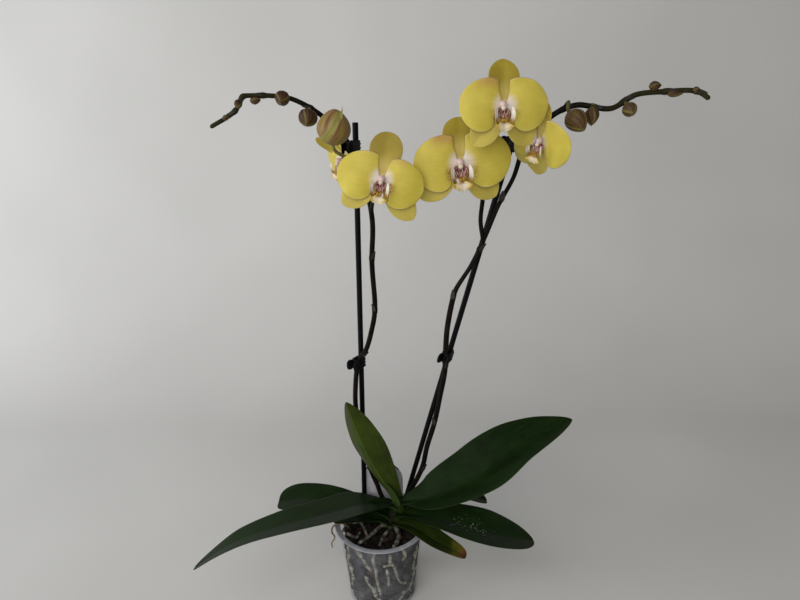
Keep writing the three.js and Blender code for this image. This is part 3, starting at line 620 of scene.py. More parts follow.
# ---- Leaves: thick strap leaves in two ranks ----------------------------------------------------
# Leathery blades up to 77 mm wide with a sunk midrib above and a keel below, a waxy skin, and a
# narrow base that clasps the crown. The youngest stands up; the oldest yellow from the tip.

def step(value, low, high):
    """A smooth step: 0 at low, 1 at high, 3t^2 - 2t^3 between."""
    t = np.clip((value - low) / (high - low), 0, 1)
    return t * t * (3 - 2 * t)


def outline(s, base, widest, fullness=1.0, tip=0.5):
    """Share of the widest half width at s: it rises from base as a quarter sine raised to
    fullness, as far as widest, and then falls as (1 - x^2)^tip: 0.5 is round, more is sharper."""
    lift = base + (1 - base) * np.sin(np.pi / 2 * np.clip(s / widest, 0, 1)) ** fullness
    fall = np.clip(1 - (np.maximum(s - widest, 0) / (1 - widest)) ** 2, 0, 1) ** tip
    return np.where(s < widest, lift, fall)


def blade(points, half_width, base, widest, fold, up, thickness=2.2, fullness=1.0, curl=0.0,
          lean=(0.0, 0.0), rows=90, sides=60, keel=0.0, ruffle=(0.0, 30, 1), edge_share=0.35,
          tip=0.5):
    """Rings of a blade on a midrib curve, at s = 1 - (1 - u) ^ 1.8 so that they crowd at the tip.
    v runs across -1..1 on the upper face and back on the lower. Both halves lift by fold times
    width, and curl bends the edges back by its share times v squared. Lean draws the edges at
    v = -1 and v = 1 backwards along the midrib, and ruffle is the height in mm, wave length and
    seed of waves towards the edges. Returns the rings, s, v and the side, 1 above, -1 below."""
    u = np.linspace(0, 1, rows)
    s = 1 - (1 - u) ** 1.8
    way = heading(points, s)[:, None]
    side = unit(np.cross(way, up))
    face = np.cross(side, way)
    t = np.linspace(1, -3, sides, endpoint=False)
    above = t > -1
    t = np.where(above, t, -2 - t)
    v = np.sin(t * 1.25) / np.sin(1.25)
    v, above = v[None, :], np.where(above, 1.0, -1.0)[None, :]
    s = s[:, None]
    width = np.maximum(half_width * outline(s, base, widest, fullness, tip), 0.25)
    lift = width * (fold * (np.sqrt(v * v + 0.01) - 0.1) - curl * v * v)
    half = thickness / 2 * (edge_share + (1 - edge_share) * (1 - v * v))
    half = half * np.sqrt(np.clip(1 - v ** 12, 0, 1))
    half = half * np.clip(width / (0.12 * half_width), 0.2, 1)
    rib = keel * np.exp(-(v * width / 2.2) ** 2) * (1 - 0.8 * s)
    offset = above * half - np.where(above > 0, 0.5 * rib, rib)
    rings = (follow(points, s[:, 0])[:, None] + side * (v * width)[..., None]
             + face * (lift + offset)[..., None]
             - way * (np.interp(v, [-1, 1], lean) * v * v * (width / half_width)
                      * (1 - s))[..., None])
    height, size, seed = ruffle
    sway = height * np.abs(v) ** 2 * waves(rings, size, seed) * np.sin(np.pi * s) ** 0.5
    return rings + face * sway[..., None], s + 0 * v, v + 0 * s, above + 0 * s


def leaf_material(name, dark, light, under, rib, decay):
    """Waxed leaf skin: parallel veins, slow mottling, a midrib line in the rib colour, which on
    the dark leaves is painted shade in its groove and on the young leaf a painted highlight on its
    keel, a duller and paler underside and edge line, a tip that dies back from decay of the way
    along, and lime left by drops."""
    made, tree, spot = material(name, roughness=0.42, ior=1.42, specular_ior_level=0.09)
    place = add(tree, "Attribute", attribute_name="blade_mm").outputs["Vector"]
    part = add(tree, "Attribute", attribute_name="share").outputs["Vector"]
    cross = add(tree, "SeparateXYZ", part)
    grain = add(tree, "Mapping", place, Scale=(0.85, 0.035, 1))
    veins = add(tree, "TexNoise", grain, Scale=1, Detail=3, Roughness=0.6)
    cloud = add(tree, "TexNoise", spot, Scale=32, Detail=4, Roughness=0.6)
    mix = add(tree, "Math", veins, cloud, operation="ADD")
    half = add(tree, "Math", mix, 0.5, operation="MULTIPLY")
    tone = add(tree, "ValToRGB", half, stops=[(0.4, dark), (0.6, light)])
    lower = add(tree, "MapRange", cross.outputs["Z"], 0.3, -0.3)
    face = add(tree, "MixRGB", lower, tone, under)
    far = add(tree, "Math", cross.outputs["X"], operation="ABSOLUTE")
    # The midrib line in the rib colour: darker as painted shade in the groove of the dark leaves,
    # paler as a painted highlight on the young leaf's keel.
    middle = add(tree, "MapRange", far, 0.07, 0.0, To_Max=0.55)
    ribbed = add(tree, "MixRGB", middle, face, rib)
    rim = add(tree, "MapRange", far, 0.955, 0.99, To_Max=0.6)
    edged = add(tree, "MixRGB", rim, ribbed, under)
    patch = add(tree, "TexNoise", spot, Scale=60, Detail=5, Roughness=0.7)
    along = add(tree, "Math", patch, 0.22, cross.outputs["Y"], operation="MULTIPLY_ADD")
    dying = add(tree, "MapRange", along, decay, decay + 0.22)
    dead = add(tree, "ValToRGB", dying, stops=[
        (0.0, "#3d4514"), (0.45, "#5f5a1e"), (0.7, "#70492a"), (1.0, "#4f3520")])
    shown = add(tree, "Math", dying, 3.0, operation="MULTIPLY", use_clamp=True)
    aged = add(tree, "MixRGB", shown, edged, dead)
    limed_part = add(tree, "Attribute", attribute_name="limed").outputs["Fac"]
    drops = add(tree, "TexVoronoi", spot, Scale=260)
    drop = add(tree, "MapRange", drops, 0.2, 0.1)
    limed = add(tree, "Math", limed_part, drop, operation="MULTIPLY", use_clamp=True)
    add(tree, "MixRGB", limed, aged, "#b9bcb0", to="Base Color")
    add(tree, "MapRange", half, 0.35, 0.65, 0.34, 0.56, to="Roughness")
    add(tree, "Bump", Height=half, Strength=0.35, Distance=0.0012, to="Normal")
    return made


# Phalaenopsis leaf, waxed cuticle: deep green and satin, its parallel veins just under the skin.
# The dark leaves' midrib is darker, painted shade in its sunk groove; the young leaf's is paler, a
# painted highlight along its keel.
leaf_green = leaf_material("leaf_cuticle_dark", "#0e1b07", "#192c0e", "#2d3d1a", "#12210a", 1.2)
leaf_young = leaf_material("leaf_cuticle_young", "#27310f", "#374413", "#3a481e", "#4e6230", 1.2)
leaf_faded = leaf_material("leaf_cuticle_fading", "#18240a", "#29360c", "#363d19", "#3f4919", 0.9)

leaves = {
    "centre": dict(points=[[19.5, 7, 135], [0.5, 0, 175], [-15, -6.7, 213], [-25.5, -12.5, 248],
                           [-36, -19.2, 293]],
                   half_width=24.5, base=0.34, widest=0.54, tip=0.75, fold=-0.58,
                   up=[-0.5, -1, 0.1]),
    "right": dict(points=[crown_seat(0.92, -15), [65, 1.6, 139.5], [121, 15.4, 156.8],
                          [177, 41, 184], [261, 80, 206]],
                  half_width=38.7, base=0.12, widest=0.58, tip=0.75, fold=0.6,
                  up=[0, -0.25, 1]),
    "left": dict(points=[crown_seat(0.85, 190), [-24, -6.5, 138], [-64, -26.5, 141],
                         [-118, -44.6, 139.3], [-174.3, -53, 122.8], [-224.5, -61.5, 92]],
                 half_width=34, base=0.24, widest=0.3, tip=0.42, fold=0.18, up=[0, 0.25, 1]),
    "left_back": dict(points=[crown_seat(0.55, 180), [-25, 7.5, 126.3], [-63, 13.8, 129],
                              [-99.5, 17.5, 130.6], [-134.5, 17, 125]],
                      half_width=26, base=0.26, widest=0.79, tip=0.27, fold=0.22),
    "right_low": dict(points=[crown_seat(0.62, -28), [83.4, -19, 122.5], [136, -32, 114.5],
                              [193, -27, 95]],
                      half_width=33, base=0.25, widest=0.67, tip=0.65, fold=0.28),
    "front_low": dict(points=[crown_seat(0.4, -62), [44, -22, 114], [70, -38, 107],
                              [105, -49, 93]],
                      half_width=15.5, base=0.3, widest=0.59, tip=0.35, fold=0.3),
    "right_back": dict(points=[crown_seat(0.68, 10), [62, 22, 129], [100, 32.5, 125.5],
                               [141, 32, 110]],
                       half_width=17, base=0.12, widest=0.6, tip=0.35, fold=0.3),
    "left_low": dict(points=[crown_seat(0.4, 205), [-22, -3, 116], [-42, -6, 117],
                             [-61, -8, 114]],
                     half_width=13, base=0.4, widest=0.5, tip=0.5, fold=0.25),
}
looks = {"centre": leaf_young, "front_low": leaf_faded}
for number, (name, leaf) in enumerate(leaves.items()):
    rings, s, v, above = blade(**{"up": [0, 0, 1], **leaf}, keel=1.0,
                               ruffle=(leaf["half_width"] * 0.045, 60, number))
    length = even(leaf["points"], 2)[1][-1]
    width = leaf["half_width"] * outline(s, leaf["base"], leaf["widest"], tip=leaf["tip"])
    look = looks.get(name, leaf_green)
    piece(f"leaf_{name}_blade", [(rings, 0, {
        "blade_mm": np.stack([v * width + 90 * number, s * length, above], -1),
        "share": np.stack([v, s, above], -1),
        "limed": (name == "right_low") * step(s, 0.32, 0.45) * (1 - step(s, 0.55, 0.75))
        * (1 - step(np.abs(v - 0.1), 0.2, 0.7))})], [look],
        [f"leaf_{name}"])


# Each leaf's base runs down the crown as a sheath: a trough as wide as the crown, hugging it.
sheath_half_width, sheath_thickness, sheaths = 9.5, 2.6, []
for number, leaf in enumerate(leaves.values()):
    seat, out = np.array(leaf["points"][0], float), follow(leaf["points"], np.array([0.2]))[0]
    outward = unit((out - seat) * [1, 1, 0])
    reach = follow(leaf["points"], np.array([0.22 if len(leaf["points"]) < 6 else 0.176]))[0]
    low = seat + outward * 2.4 - [0, 0, 15]
    turn = seat + outward * 3.0 - [0, 0, 5]
    bend = seat * 0.45 + reach * 0.55 - [0, 0, 2.6]
    rings, s, v, above = blade([low, turn, bend, reach - [0, 0, 1.5]], sheath_half_width, 0.55,
                               0.4, 0.75, unit([0, 0, 0.7] - outward), sheath_thickness,
                               rows=40, sides=44, tip=0.7)
    sheaths.append((rings, 0, {
        "blade_mm": np.stack([v * 9 + 90 * number, s * 40, above], -1),
        "share": np.stack([v, 0.4 * s, above], -1)}))
piece("leaf_sheaths", sheaths, [leaf_green])


# ---- Stakes: plastic-coated support rods --------------------------------------------------------
# Straight 6.4 mm rods of steel in black polyethylene, pushed to the bottom of the bark, cut off
# square at the top with the edge just rounded. The coating is satin black.

stakes = {"left": ([-24, 30, 12], [-17.2, 30, 602]), "right": ([10, 39.4, 25], [149, 10, 588])}
stake_radius = 3.2
# Black polyethylene, extruded: satin, with faint lengthwise drawing lines.
black_plastic, tree, spot = material("black_polyethylene_extruded", roughness=0.38,
                                     specular_ior_level=0.1)
drawn = add(tree, "Mapping", spot, Scale=(700, 700, 14))
lines = add(tree, "TexNoise", drawn, Scale=1, Detail=3)
add(tree, "ValToRGB", lines, stops=[(0.3, "#040405"), (0.75, "#09090b")], to="Base Color")
add(tree, "MapRange", lines, To_Min=0.3, To_Max=0.55, to="Roughness")
add(tree, "Bump", Height=lines, Strength=0.15, Distance=0.0004, to="Normal")
for name, (foot, top) in stakes.items():
    length = np.linalg.norm(np.subtract(top, foot))
    passed = np.concatenate([np.linspace(0, 2.5, 8), np.linspace(4, length - 4, 60),
                             length - np.array([1.2, 0.6, 0.3, 0.1, 0.03, 0.01, 0.0])])
    centres = np.array(foot) + passed[:, None] / length * np.subtract(top, foot)
    radius = stake_radius * np.sqrt(1 - (1 - np.clip(passed / stake_radius, 0.02, 1)) ** 2)
    radius[-5:] = stake_radius - np.array([0.0, 0.06, 0.3, 1.6, 3.1])
    piece(f"stake_{name}_rod", [(tube(centres, radius, 28, (0, 1, 0)), 0, {})],
          [black_plastic], [f"stake_{name}"])


# ---- Flowers: five open blooms ------------------------------------------------------------------
# Three sepals stand behind two broad petals; the lip and the column make the centre. Petals are
# soft and matt with a waxy glow, and fine veins fan out from the narrow claw of each.

hub_radius, hub_back, petal_thickness, gap = 2.4, 3.2, 0.8, 0.35
sepal = dict(reach=42, half_width=12.5, base=0.16, widest=0.6, tip=0.66, lift=-1, back=6)
petal = dict(reach=40, half_width=23, base=0.1, widest=0.5, tip=0.5, lift=1.2, back=2)
organs = {
    "sepal_dorsal": {**sepal, **dict(angle=90, reach=40, half_width=14, base=0.2, tip=0.5,
                                     back=5)},
    "sepal_left": dict(angle=231, **sepal), "sepal_right": dict(angle=309, **sepal),
    "petal_left": dict(angle=177, **petal), "petal_right": dict(angle=3, **petal),
}
flowers = {
    "left": dict(at=[12, -52, 554], width=83, yaw=-3, nod=-6, roll=-9, blush={"petal_right": 0.7},
                 netted={"petal_right": 1.0},
                 differs={"sepal_dorsal": dict(reach=43, half_width=15.5),
                          "sepal_left": dict(angle=219, reach=45),
                          "sepal_right": dict(angle=316, reach=48),
                          "petal_left": dict(reach=42.5),
                          "petal_right": dict(angle=-8, half_width=22.5)}),
    "middle": dict(at=[89, -40, 567], width=95, yaw=3, nod=-6, roll=5, blush={"petal_left": 0.9},
                   netted={"petal_left": 1.2, "petal_right": 0.7}, aside=[-2, 0, 0],
                   differs={"sepal_dorsal": dict(angle=88, reach=36.5),
                            "sepal_left": dict(angle=216, reach=44),
                            "sepal_right": dict(angle=313),
                            "petal_left": dict(reach=39), "petal_right": dict(reach=42)}),
    "top": dict(at=[125, -62, 620], width=83, yaw=6, nod=-8, roll=0, blush={"petal_left": 0.8},
                netted={"petal_left": 0.4, "petal_right": 0.6}, aside=[-3, 0, 0],
                differs={"sepal_dorsal": dict(tip=0.62)}),
    "right": dict(at=[163, -42, 587], width=76, yaw=-48, nod=14, roll=-15, aside=[4, 3, 0],
                  differs={"sepal_dorsal": dict(angle=100),
                           "sepal_left": dict(angle=226, half_width=13),
                           "sepal_right": dict(angle=267, half_width=13.5, tip=0.85, lift=-3.2),
                           "petal_left": dict(reach=33, half_width=22),
                           "petal_right": dict(reach=37, half_width=24)}),
    "rear": dict(at=[-29, 1, 566], width=70, yaw=-57, nod=8, roll=-12,
                 differs={"sepal_dorsal": dict(angle=146, half_width=10, reach=38, back=-19),
                          "petal_left": dict(angle=190, half_width=24),
                          "petal_right": dict(angle=-12, reach=36, half_width=17)}),
}


def turned(flower):
    """The flower's rotation: yaw about Z, then 90 + nod about its X, then roll about its Z."""
    return np.array(Matrix.Rotation(radians(flower["yaw"]), 3, "Z")
                    @ Matrix.Rotation(radians(90 + flower["nod"]), 3, "X")
                    @ Matrix.Rotation(radians(flower["roll"]), 3, "Z"))


def organ(shape, scale, seed):
    """A sepal or petal in its flower's frame, x right, y up, z out of the face: a blade on a
    midrib that leaves the hub along angle, domes if it is a petal, and bends back at the tip.
    Petals keep 3.4 to 4.8 units off the middle line above the hub, so that the sepal behind
    shows, and 9 beside the lip."""
    is_petal = shape["lift"] > 0
    start = hub_radius / scale + gap + 0.1
    way = np.array([np.cos(radians(shape["angle"])), np.sin(radians(shape["angle"])), 0])
    points = []
    for s in (0, 0.33, 0.66, 1):
        point = way * (start + (shape["reach"] - start) * s)
        dome = 3 * np.sin(np.pi * s) if is_petal else 0
        point[2] = shape["lift"] + dome - shape["back"] * s * s
        points.append(point * scale)
    draw = (4 * scale, 15 * scale)[::1 if way[0] < 0 else -1] if is_petal else (0, 0)
    rings, s, v, above = blade(
        points, shape["half_width"] * scale, shape["base"], shape["widest"],
        0 if is_petal else 0.15, (0, 0, 1), petal_thickness, 0.6 if is_petal else 0.9,
        0.12 if is_petal else 0.05, draw, rows=56, sides=60,
        ruffle=(1.0 if is_petal else 0.6, 22, seed), edge_share=0.5, tip=shape["tip"])
    if is_petal:
        side = np.sign(way[0])
        across, up = side * rings[..., 0] / scale, rings[..., 1] / scale
        limit = ((3.4 + 1.4 * step(up, 5, 14)) * step(up, 1, 4) * (1 - step(up, 25, 34))
                 + 9 * step(-up, 3, 8) * (1 - step(-up, 18, 29)))
        kept = (across + limit + np.sqrt((across - limit) ** 2 + 0.5)) / 2
        near = step(np.abs(up), 0.5, 3)
        rings[..., 0] = side * scale * (across + near * (kept - across))
    flat = rings / scale
    return rings, s, v, above, flat


def petal_material(name, deep, bright, edge, throat):
    """Petal skin: slow colour drift, veins that fan along it, a pale rim, a white throat that
    fades out along the veins, and a speckled blush where its attribute says, which on the dorsal
    sepal is partly painted shade."""
    made, tree, spot = material(name, roughness=0.55, ior=1.4, subsurface_weight=0.12,
                                subsurface_scale=0.001, sheen_weight=0.12)
    part = add(tree, "Attribute", attribute_name="share").outputs["Vector"]
    throat_part, blush_part, net_part, rim_part = (
        add(tree, "Attribute", attribute_name=value).outputs["Fac"]
        for value in ("throat", "blush", "netted", "rim"))
    fan = add(tree, "Mapping", part, Scale=(17, 1.5, 9))
    veins = add(tree, "TexNoise", fan, Scale=1, Detail=3, Roughness=0.5, Distortion=0.2)
    cloud = add(tree, "TexNoise", spot, Scale=45, Detail=3)
    base = add(tree, "ValToRGB", cloud, stops=[(0.35, deep), (0.65, bright)])
    ribs = add(tree, "ValToRGB", veins, stops=[(0.36, 0.93), (0.56, 1.0)])
    veined = add(tree, "MixRGB", 0.75, base, ribs, blend_type="MULTIPLY")
    rimmed = add(tree, "MixRGB", rim_part, veined, edge)
    streak = add(tree, "MapRange", veins, 0.35, 0.65, 0.7, 1.2)
    pale = add(tree, "Math", throat_part, streak, operation="MULTIPLY", use_clamp=True)
    whitened = add(tree, "MixRGB", pale, rimmed, throat)
    dots = add(tree, "TexNoise", spot, Scale=620, Detail=3)
    speckle = add(tree, "MapRange", dots, 0.38, 0.62, 0.75, 1.05)
    rosy = add(tree, "Math", blush_part, speckle, operation="MULTIPLY", use_clamp=True)
    blushed = add(tree, "MixRGB", rosy, whitened, "#a87f45")
    net = add(tree, "TexVoronoi", spot, Scale=620, feature="DISTANCE_TO_EDGE")
    lace = add(tree, "MapRange", net, 0.16, 0.04)
    laced = add(tree, "Math", net_part, lace, operation="MULTIPLY", use_clamp=True)
    add(tree, "MixRGB", laced, blushed, "#7d3b2a", to="Base Color")
    height = add(tree, "Math", dots, 0.15, veins, operation="MULTIPLY_ADD")
    add(tree, "Bump", Height=height, Strength=0.15, Distance=0.0008, to="Normal")
    return made


# Petal skin: soft yellow, matt and slightly see-through; the sepals behind it are more olive.
petal_skin = petal_material("orchid_petal", "#baa93a", "#c6b547", "#ccbf78", "#d9cdc8")
sepal_skin = petal_material("orchid_sepal", "#ae9d40", "#baa94b", "#bdab66", "#d3c7bc")
# The dorsal sepal is darker again: partly its own deeper olive, partly painted shade behind the
# petals.
dorsal_skin_shaded = petal_material("orchid_dorsal_sepal_shaded", "#8b7815", "#9c891d", "#a89442", "#d2bd6e")
# Lip tissue: fleshy, waxy white, yellow at its tips and struck with red-brown stripes inside.
lip_skin, tree, spot = material("orchid_lip_wax", roughness=0.4, ior=1.42,
                                subsurface_weight=0.2, subsurface_scale=0.001)
yellow_part, stripe_part, pink_part = (
    add(tree, "Attribute", attribute_name=value).outputs["Fac"]
    for value in ("yellow", "striped", "pink"))
part = add(tree, "Attribute", attribute_name="share")
cloud = add(tree, "TexNoise", spot, Scale=300, Detail=3)
white = add(tree, "ValToRGB", cloud, stops=[(0.3, "#cdc6b2"), (0.7, "#ddd7c8")])
pinked = add(tree, "MixRGB", pink_part, white, "#c9a9a8")
gold = add(tree, "ValToRGB", cloud, stops=[(0.3, "#b48d1c"), (0.7, "#c8aa38")])
tipped = add(tree, "MixRGB", yellow_part, pinked, gold)
rows = add(tree, "Mapping", part.outputs["Vector"], Scale=(9, 2.5, 1))
bars = add(tree, "TexNoise", rows, Scale=1, Detail=2)
bands = add(tree, "MapRange", bars, 0.42, 0.52)
struck = add(tree, "Math", stripe_part, bands, operation="MULTIPLY", use_clamp=True)
add(tree, "MixRGB", struck, tipped, "#6b2f20", to="Base Color")
add(tree, "Bump", Height=cloud, Strength=0.2, Distance=0.0006, to="Normal")


def painted(rings, s, v, yellow=0, striped=0, pink=0):
    """A lip skin with its colours as attributes."""
    blank = 0 * rings[..., 0]
    return rings, 0, {"share": np.stack([v + blank, s + blank, blank], -1),
                      "yellow": yellow, "striped": striped, "pink": pink}


def lip_skins(scale):
    """The lip and column in the flower's frame: a stalk through the hub, the hooded column with
    its cap, the striped throat, two erect side lobes, the callus and the anchor-shaped middle."""
    skins = []
    points = [[0, 0, -hub_back / scale], [0, 0, 0.5], [0, 1.2, 3.6], [0, 0.8, 6.5], [0, -1.6, 9.4]]
    share, length = even(np.multiply(points, scale), 44)
    t = length / length[-1]
    swell = 2.1 + 1.25 * step(t, 0.35, 0.8)
    radius = np.minimum(rounded(length, 3.2 * scale), swell * scale)
    radius[t < 0.4] = (hub_radius - 0.1) + (swell[t < 0.4] * scale - hub_radius + 0.1) * step(
        t[t < 0.4], 0.2, 0.4)
    centres = follow(np.multiply(points, scale), share)
    phi = np.linspace(0, 2 * np.pi, 28, endpoint=False)
    hollow = 1 - 0.22 * step(t, 0.55, 0.9)[:, None] * np.clip(np.cos(phi + np.pi / 2), 0, 1) ** 2
    rings = tube(centres, radius[:, None] * hollow, 28, (1, 0, 0))
    skins.append(painted(rings, t[:, None], 0, pink=0.35 + 0.4 * step(t, 0.3, 0.6)[:, None]))
    cap = np.linspace(0, np.pi, 18)
    ball = lathe(np.stack([2.1 * np.maximum(np.sin(cap), 0.02), -1.8 * np.cos(cap)], -1), 24)
    skins.append(painted(scale * (ball + [0, -2.5, 9.0]), cap[:, None] / np.pi, 0, pink=0.3,
                         yellow=0.15))
    throat, s, v, above = blade(
        np.multiply([[0, -2.5, 2.6], [0, -6, 4.0], [0, -10, 6.4], [0, -14, 9.6]], scale),
        6 * scale, 0.6, 0.4, 0.55, (0, 0.6, 1), 0.9, rows=30, sides=36)
    skins.append(painted(throat, s, v, striped=np.where(above > 0, 1.6, 0.2), pink=0.7,
                         yellow=0.8 * step(s, 0.6, 0.85)))
    for way in (-1, 1):
        lobe, s, v, above = blade(
            np.multiply([[4.4 * way, -15, 8.2], [6.8 * way, -14, 10.6], [7.8 * way, -10, 12.2],
                         [7.6 * way, -5, 12.6], [6.6 * way, -1.6, 11.8]], scale),
            2.0 * scale, 0.5, 0.45, 0.35, (-0.7 * way, 0.1, 0.9), 0.9, rows=32, sides=32)
        skins.append(painted(lobe, s, v, yellow=1 - step(s, 0.25, 0.45),
                             striped=0.8 * (above > 0) * (1 - step(s, 0.3, 0.7)),
                             pink=0.25 * step(s, 0.6, 1)))
    middle, s, v, above = blade(
        np.multiply([[0, -11.5, 7.6], [0, -15.5, 10.8], [0, -19.4, 11.8], [0, -23.4, 9.8]], scale),
        8.2 * scale, 0.2, 0.46, 0.3, (0, 0.4, 1), 0.9, fullness=7, lean=(-2, -2), rows=44,
        sides=44, ruffle=(1.4, 3.5, 5), tip=1.9)
    skins.append(painted(middle, s, v, yellow=np.maximum(1 - step(s, 0.25, 0.45),
                                                         0.3 + 0.6 * step(np.abs(v), 0.4, 0.75)
                                                         * (1 - step(s, 0.6, 0.8))),
                         striped=0.9 * (np.abs(v) < 0.4) * (1 - step(s, 0.3, 0.5))))
    for way in (-1, 1):
        bead = lathe(np.stack([1.5 * np.maximum(np.sin(cap), 0.02), -2.0 * np.cos(cap)], -1), 18)
        skins.append(painted(scale * (bead + [1.15 * way, -13, 10.6]), cap[:, None] / np.pi,
                             np.linspace(-1, 1, 18), yellow=1, striped=0.75))
    return skins


for number, (name, flower) in enumerate(flowers.items()):
    scale = flower["width"] / 80
    turn = turned(flower)
    for part, shape in organs.items():
        shape = {**shape, **flower["differs"].get(part, {})}
        rings, s, v, above, flat = organ(shape, scale, 10 * number + len(part))
        out = np.hypot(flat[..., 0], flat[..., 1])
        is_petal = part.startswith("petal")
        throat = 1 - step(out, 4.5, 14 if is_petal else 13)
        below = step(-flat[..., 1], 2, 8) if is_petal else 0
        flush = step(flat[..., 1], 11, 22) * (1 - step(np.abs(flat[..., 0]), 14, 32))
        blush = flower.get("blush", {}).get(part, 0.1) * flush if is_petal else 0
        if part == "sepal_dorsal":
            throat = np.maximum(1 - step(out, 3.5, 8.5), 0.5 * (1 - step(out, 10, 26)))
            # On the dorsal sepal the blush darkens the flanks of its lower part: partly a brown
            # flush, partly painted shade where the petals meet it.
            blush = 0.25 * (1 - step(s, 0.3, 0.8)) * step(np.abs(v), 0.2, 0.9) * (1 - throat)
        low = not is_petal and part != "sepal_dorsal"
        netted = (step(out, 3, 7) * (1 - step(out, 11, 17))) if low else (
            flower.get("netted", {}).get(part, 0) * step(-flat[..., 1], 1, 5)
            * (1 - step(-flat[..., 1], 10, 16)) * (1 - step(np.abs(flat[..., 0]), 10, 16)))
        rim = 0.55 * np.maximum(step(np.abs(v), 0.93, 0.99), step(s, 0.985, 0.998))
        rings = rings @ turn.T + flower["at"]
        node = f"flower_{name}_{part}"
        piece(f"{node}_skin", [(rings, 0, {
            "share": np.stack([v, s, 0 * s + number], -1), "throat": throat * (1 - 0.5 * below),
            "blush": blush, "netted": netted, "rim": rim,
        })], [petal_skin if is_petal else sepal_skin if low else dorsal_skin_shaded],
            [node])
    aside = np.array(flower.get("aside", [0, 0, 0]))
    skins = [((rings + aside * step(rings[..., 2:], 0, 5)) @ turn.T + flower["at"], finish, values)
             for rings, finish, values in lip_skins(scale)]
    piece(f"flower_{name}_lip_and_column", skins, [lip_skin], [f"flower_{name}_lip"])


# ---- Buds: closed flowers on their stalks -------------------------------------------------------
# Each bud is an egg of three outer sepals whose edges meet in seams from the stalk to the tip.
# Their backs are flushed maroon and olive; the largest is about to open, green at its seams.

buds = {
    "left_1": ([-35.3, -34, 585], 34, 16.5, [0.12, -0.15, 0.95], -1.55, 1.0, (0.7, 0.25, 0.7)),
    "left_2": ([-60, -7, 615], 19, 9.8, [-0.1, -0.75, -0.6], 1.6, 0.12),
    "left_3": ([-83, -13, 630], 15, 7.5, [-0.1, -0.95, -0.25], 0.2, 0.1),
    "right_1": ([193.5, -28, 613], 26, 10.8, [0.45, -0.6, -0.65], 2.2, 0.3),
    "right_2": ([218, -22.3, 617.5], 19, 7, [-0.08, -0.25, -0.95], 0.9, 0.15),
    "right_3": ([249, -28, 617], 15, 7.2, [0.1, -0.9, -0.4], 1.2, 0.25),
}


def bud_skin(at, length, radius, toward, turn, ripe, grain=None):
    """An egg along toward: radius times sin(pi t^0.85)^(0.8 - 0.25 ripe) at share t. Three seams
    run half a radian askew round grain, or round the egg itself, as shallow grooves."""
    t = np.concatenate([[0.002, 0.01], np.linspace(0.03, 0.97, 40), [0.99, 0.998]])[:, None]
    phi = np.linspace(0, 2 * np.pi, 60, endpoint=False)[None, :]
    ease = radius * np.sin(np.pi * t ** 0.85) ** (0.8 - 0.25 * ripe)
    frame_up = Vector(toward).normalized()
    turned_to = np.array(Vector((0, 0, 1)).rotation_difference(frame_up).to_matrix())
    egg = np.stack([ease * np.cos(phi), ease * np.sin(phi), length * (t - 0.5) + 0 * phi], -1)
    round_to = np.array(Vector((0, 0, 1)).rotation_difference(
        Vector(grain or toward).normalized()).to_matrix())
    x, y, z = np.moveaxis(egg @ turned_to.T @ round_to, -1, 0)
    away = np.hypot(x, y)
    from_seam = (np.arctan2(y, x) - turn + 0.3 * z / radius + np.pi / 3) % (
        2 * np.pi / 3) - np.pi / 3
    groove = np.exp(-(from_seam * away / (0.35 + 0.05 * radius)) ** 2) * step(away, 0, 2)
    body = ease * (0.955 + 0.045 * np.cos(1.5 * from_seam) ** 2) - groove * (0.2 + 0.02 * radius)
    body = np.maximum(body, 0.02)
    rings = np.stack([body * np.cos(phi), body * np.sin(phi), length * t + 0 * phi], -1)
    values = {"seam": np.abs(from_seam) * away,
              "shaded": 0.5 - 0.5 * unit(egg @ turned_to.T)[..., 2],
              "bud": np.stack([from_seam / 1.05, z / length + 0.5, ripe + 0 * z], -1)}
    return rings @ turned_to.T + at, 0, values


# Bud skin: satin and firm, olive to maroon, with green flanks beside the seams.
bud_tissue, tree, spot = material("orchid_bud_skin", roughness=0.5, ior=1.42,
                                  specular_ior_level=0.25)
seam_part = add(tree, "Attribute", attribute_name="seam").outputs["Fac"]
bud_part = add(tree, "Attribute", attribute_name="bud").outputs["Vector"]
parts = add(tree, "SeparateXYZ", bud_part)
ribs = add(tree, "Mapping", bud_part, Scale=(5, 1.4, 3))
streaks = add(tree, "TexNoise", ribs, Scale=1, Detail=4)
shaded_part = add(tree, "Attribute", attribute_name="shaded").outputs["Fac"]
greener = add(tree, "Math", shaded_part, 0.28, streaks, operation="MULTIPLY_ADD")
dark = add(tree, "ValToRGB", greener, stops=[
    (0.4, "#180a08"), (0.6, "#2c140f"), (0.7, "#3b2c14"), (0.85, "#55501f")])
light = add(tree, "ValToRGB", streaks, stops=[
    (0.3, "#5c3c2a"), (0.46, "#7c5c3c"), (0.56, "#7e6836"), (0.7, "#867c36")])
skin = add(tree, "MixRGB", parts.outputs["Z"], dark, light)
# Beside a seam the green flank of the sepal beneath shows, wider as the bud ripens.
reach = add(tree, "Math", parts.outputs["Z"], 3.6, 0.5, operation="MULTIPLY_ADD")
past = add(tree, "Math", seam_part, reach, operation="SUBTRACT")
near = add(tree, "MapRange", past, 0.4, -0.2)
flank = add(tree, "ValToRGB", streaks, stops=[(0.35, "#716c30"), (0.65, "#938a4c")])
edge = add(tree, "Math", parts.outputs["Z"], 0.8, 0.12, operation="MULTIPLY_ADD")
shown = add(tree, "Math", near, edge, operation="MULTIPLY")
add(tree, "MixRGB", shown, skin, flank, to="Base Color")
grain = add(tree, "TexNoise", spot, Scale=800, Detail=3)
relief = add(tree, "Math", grain, 0.2, streaks, operation="MULTIPLY_ADD")
add(tree, "Bump", Height=relief, Strength=0.3, Distance=0.0008, to="Normal")
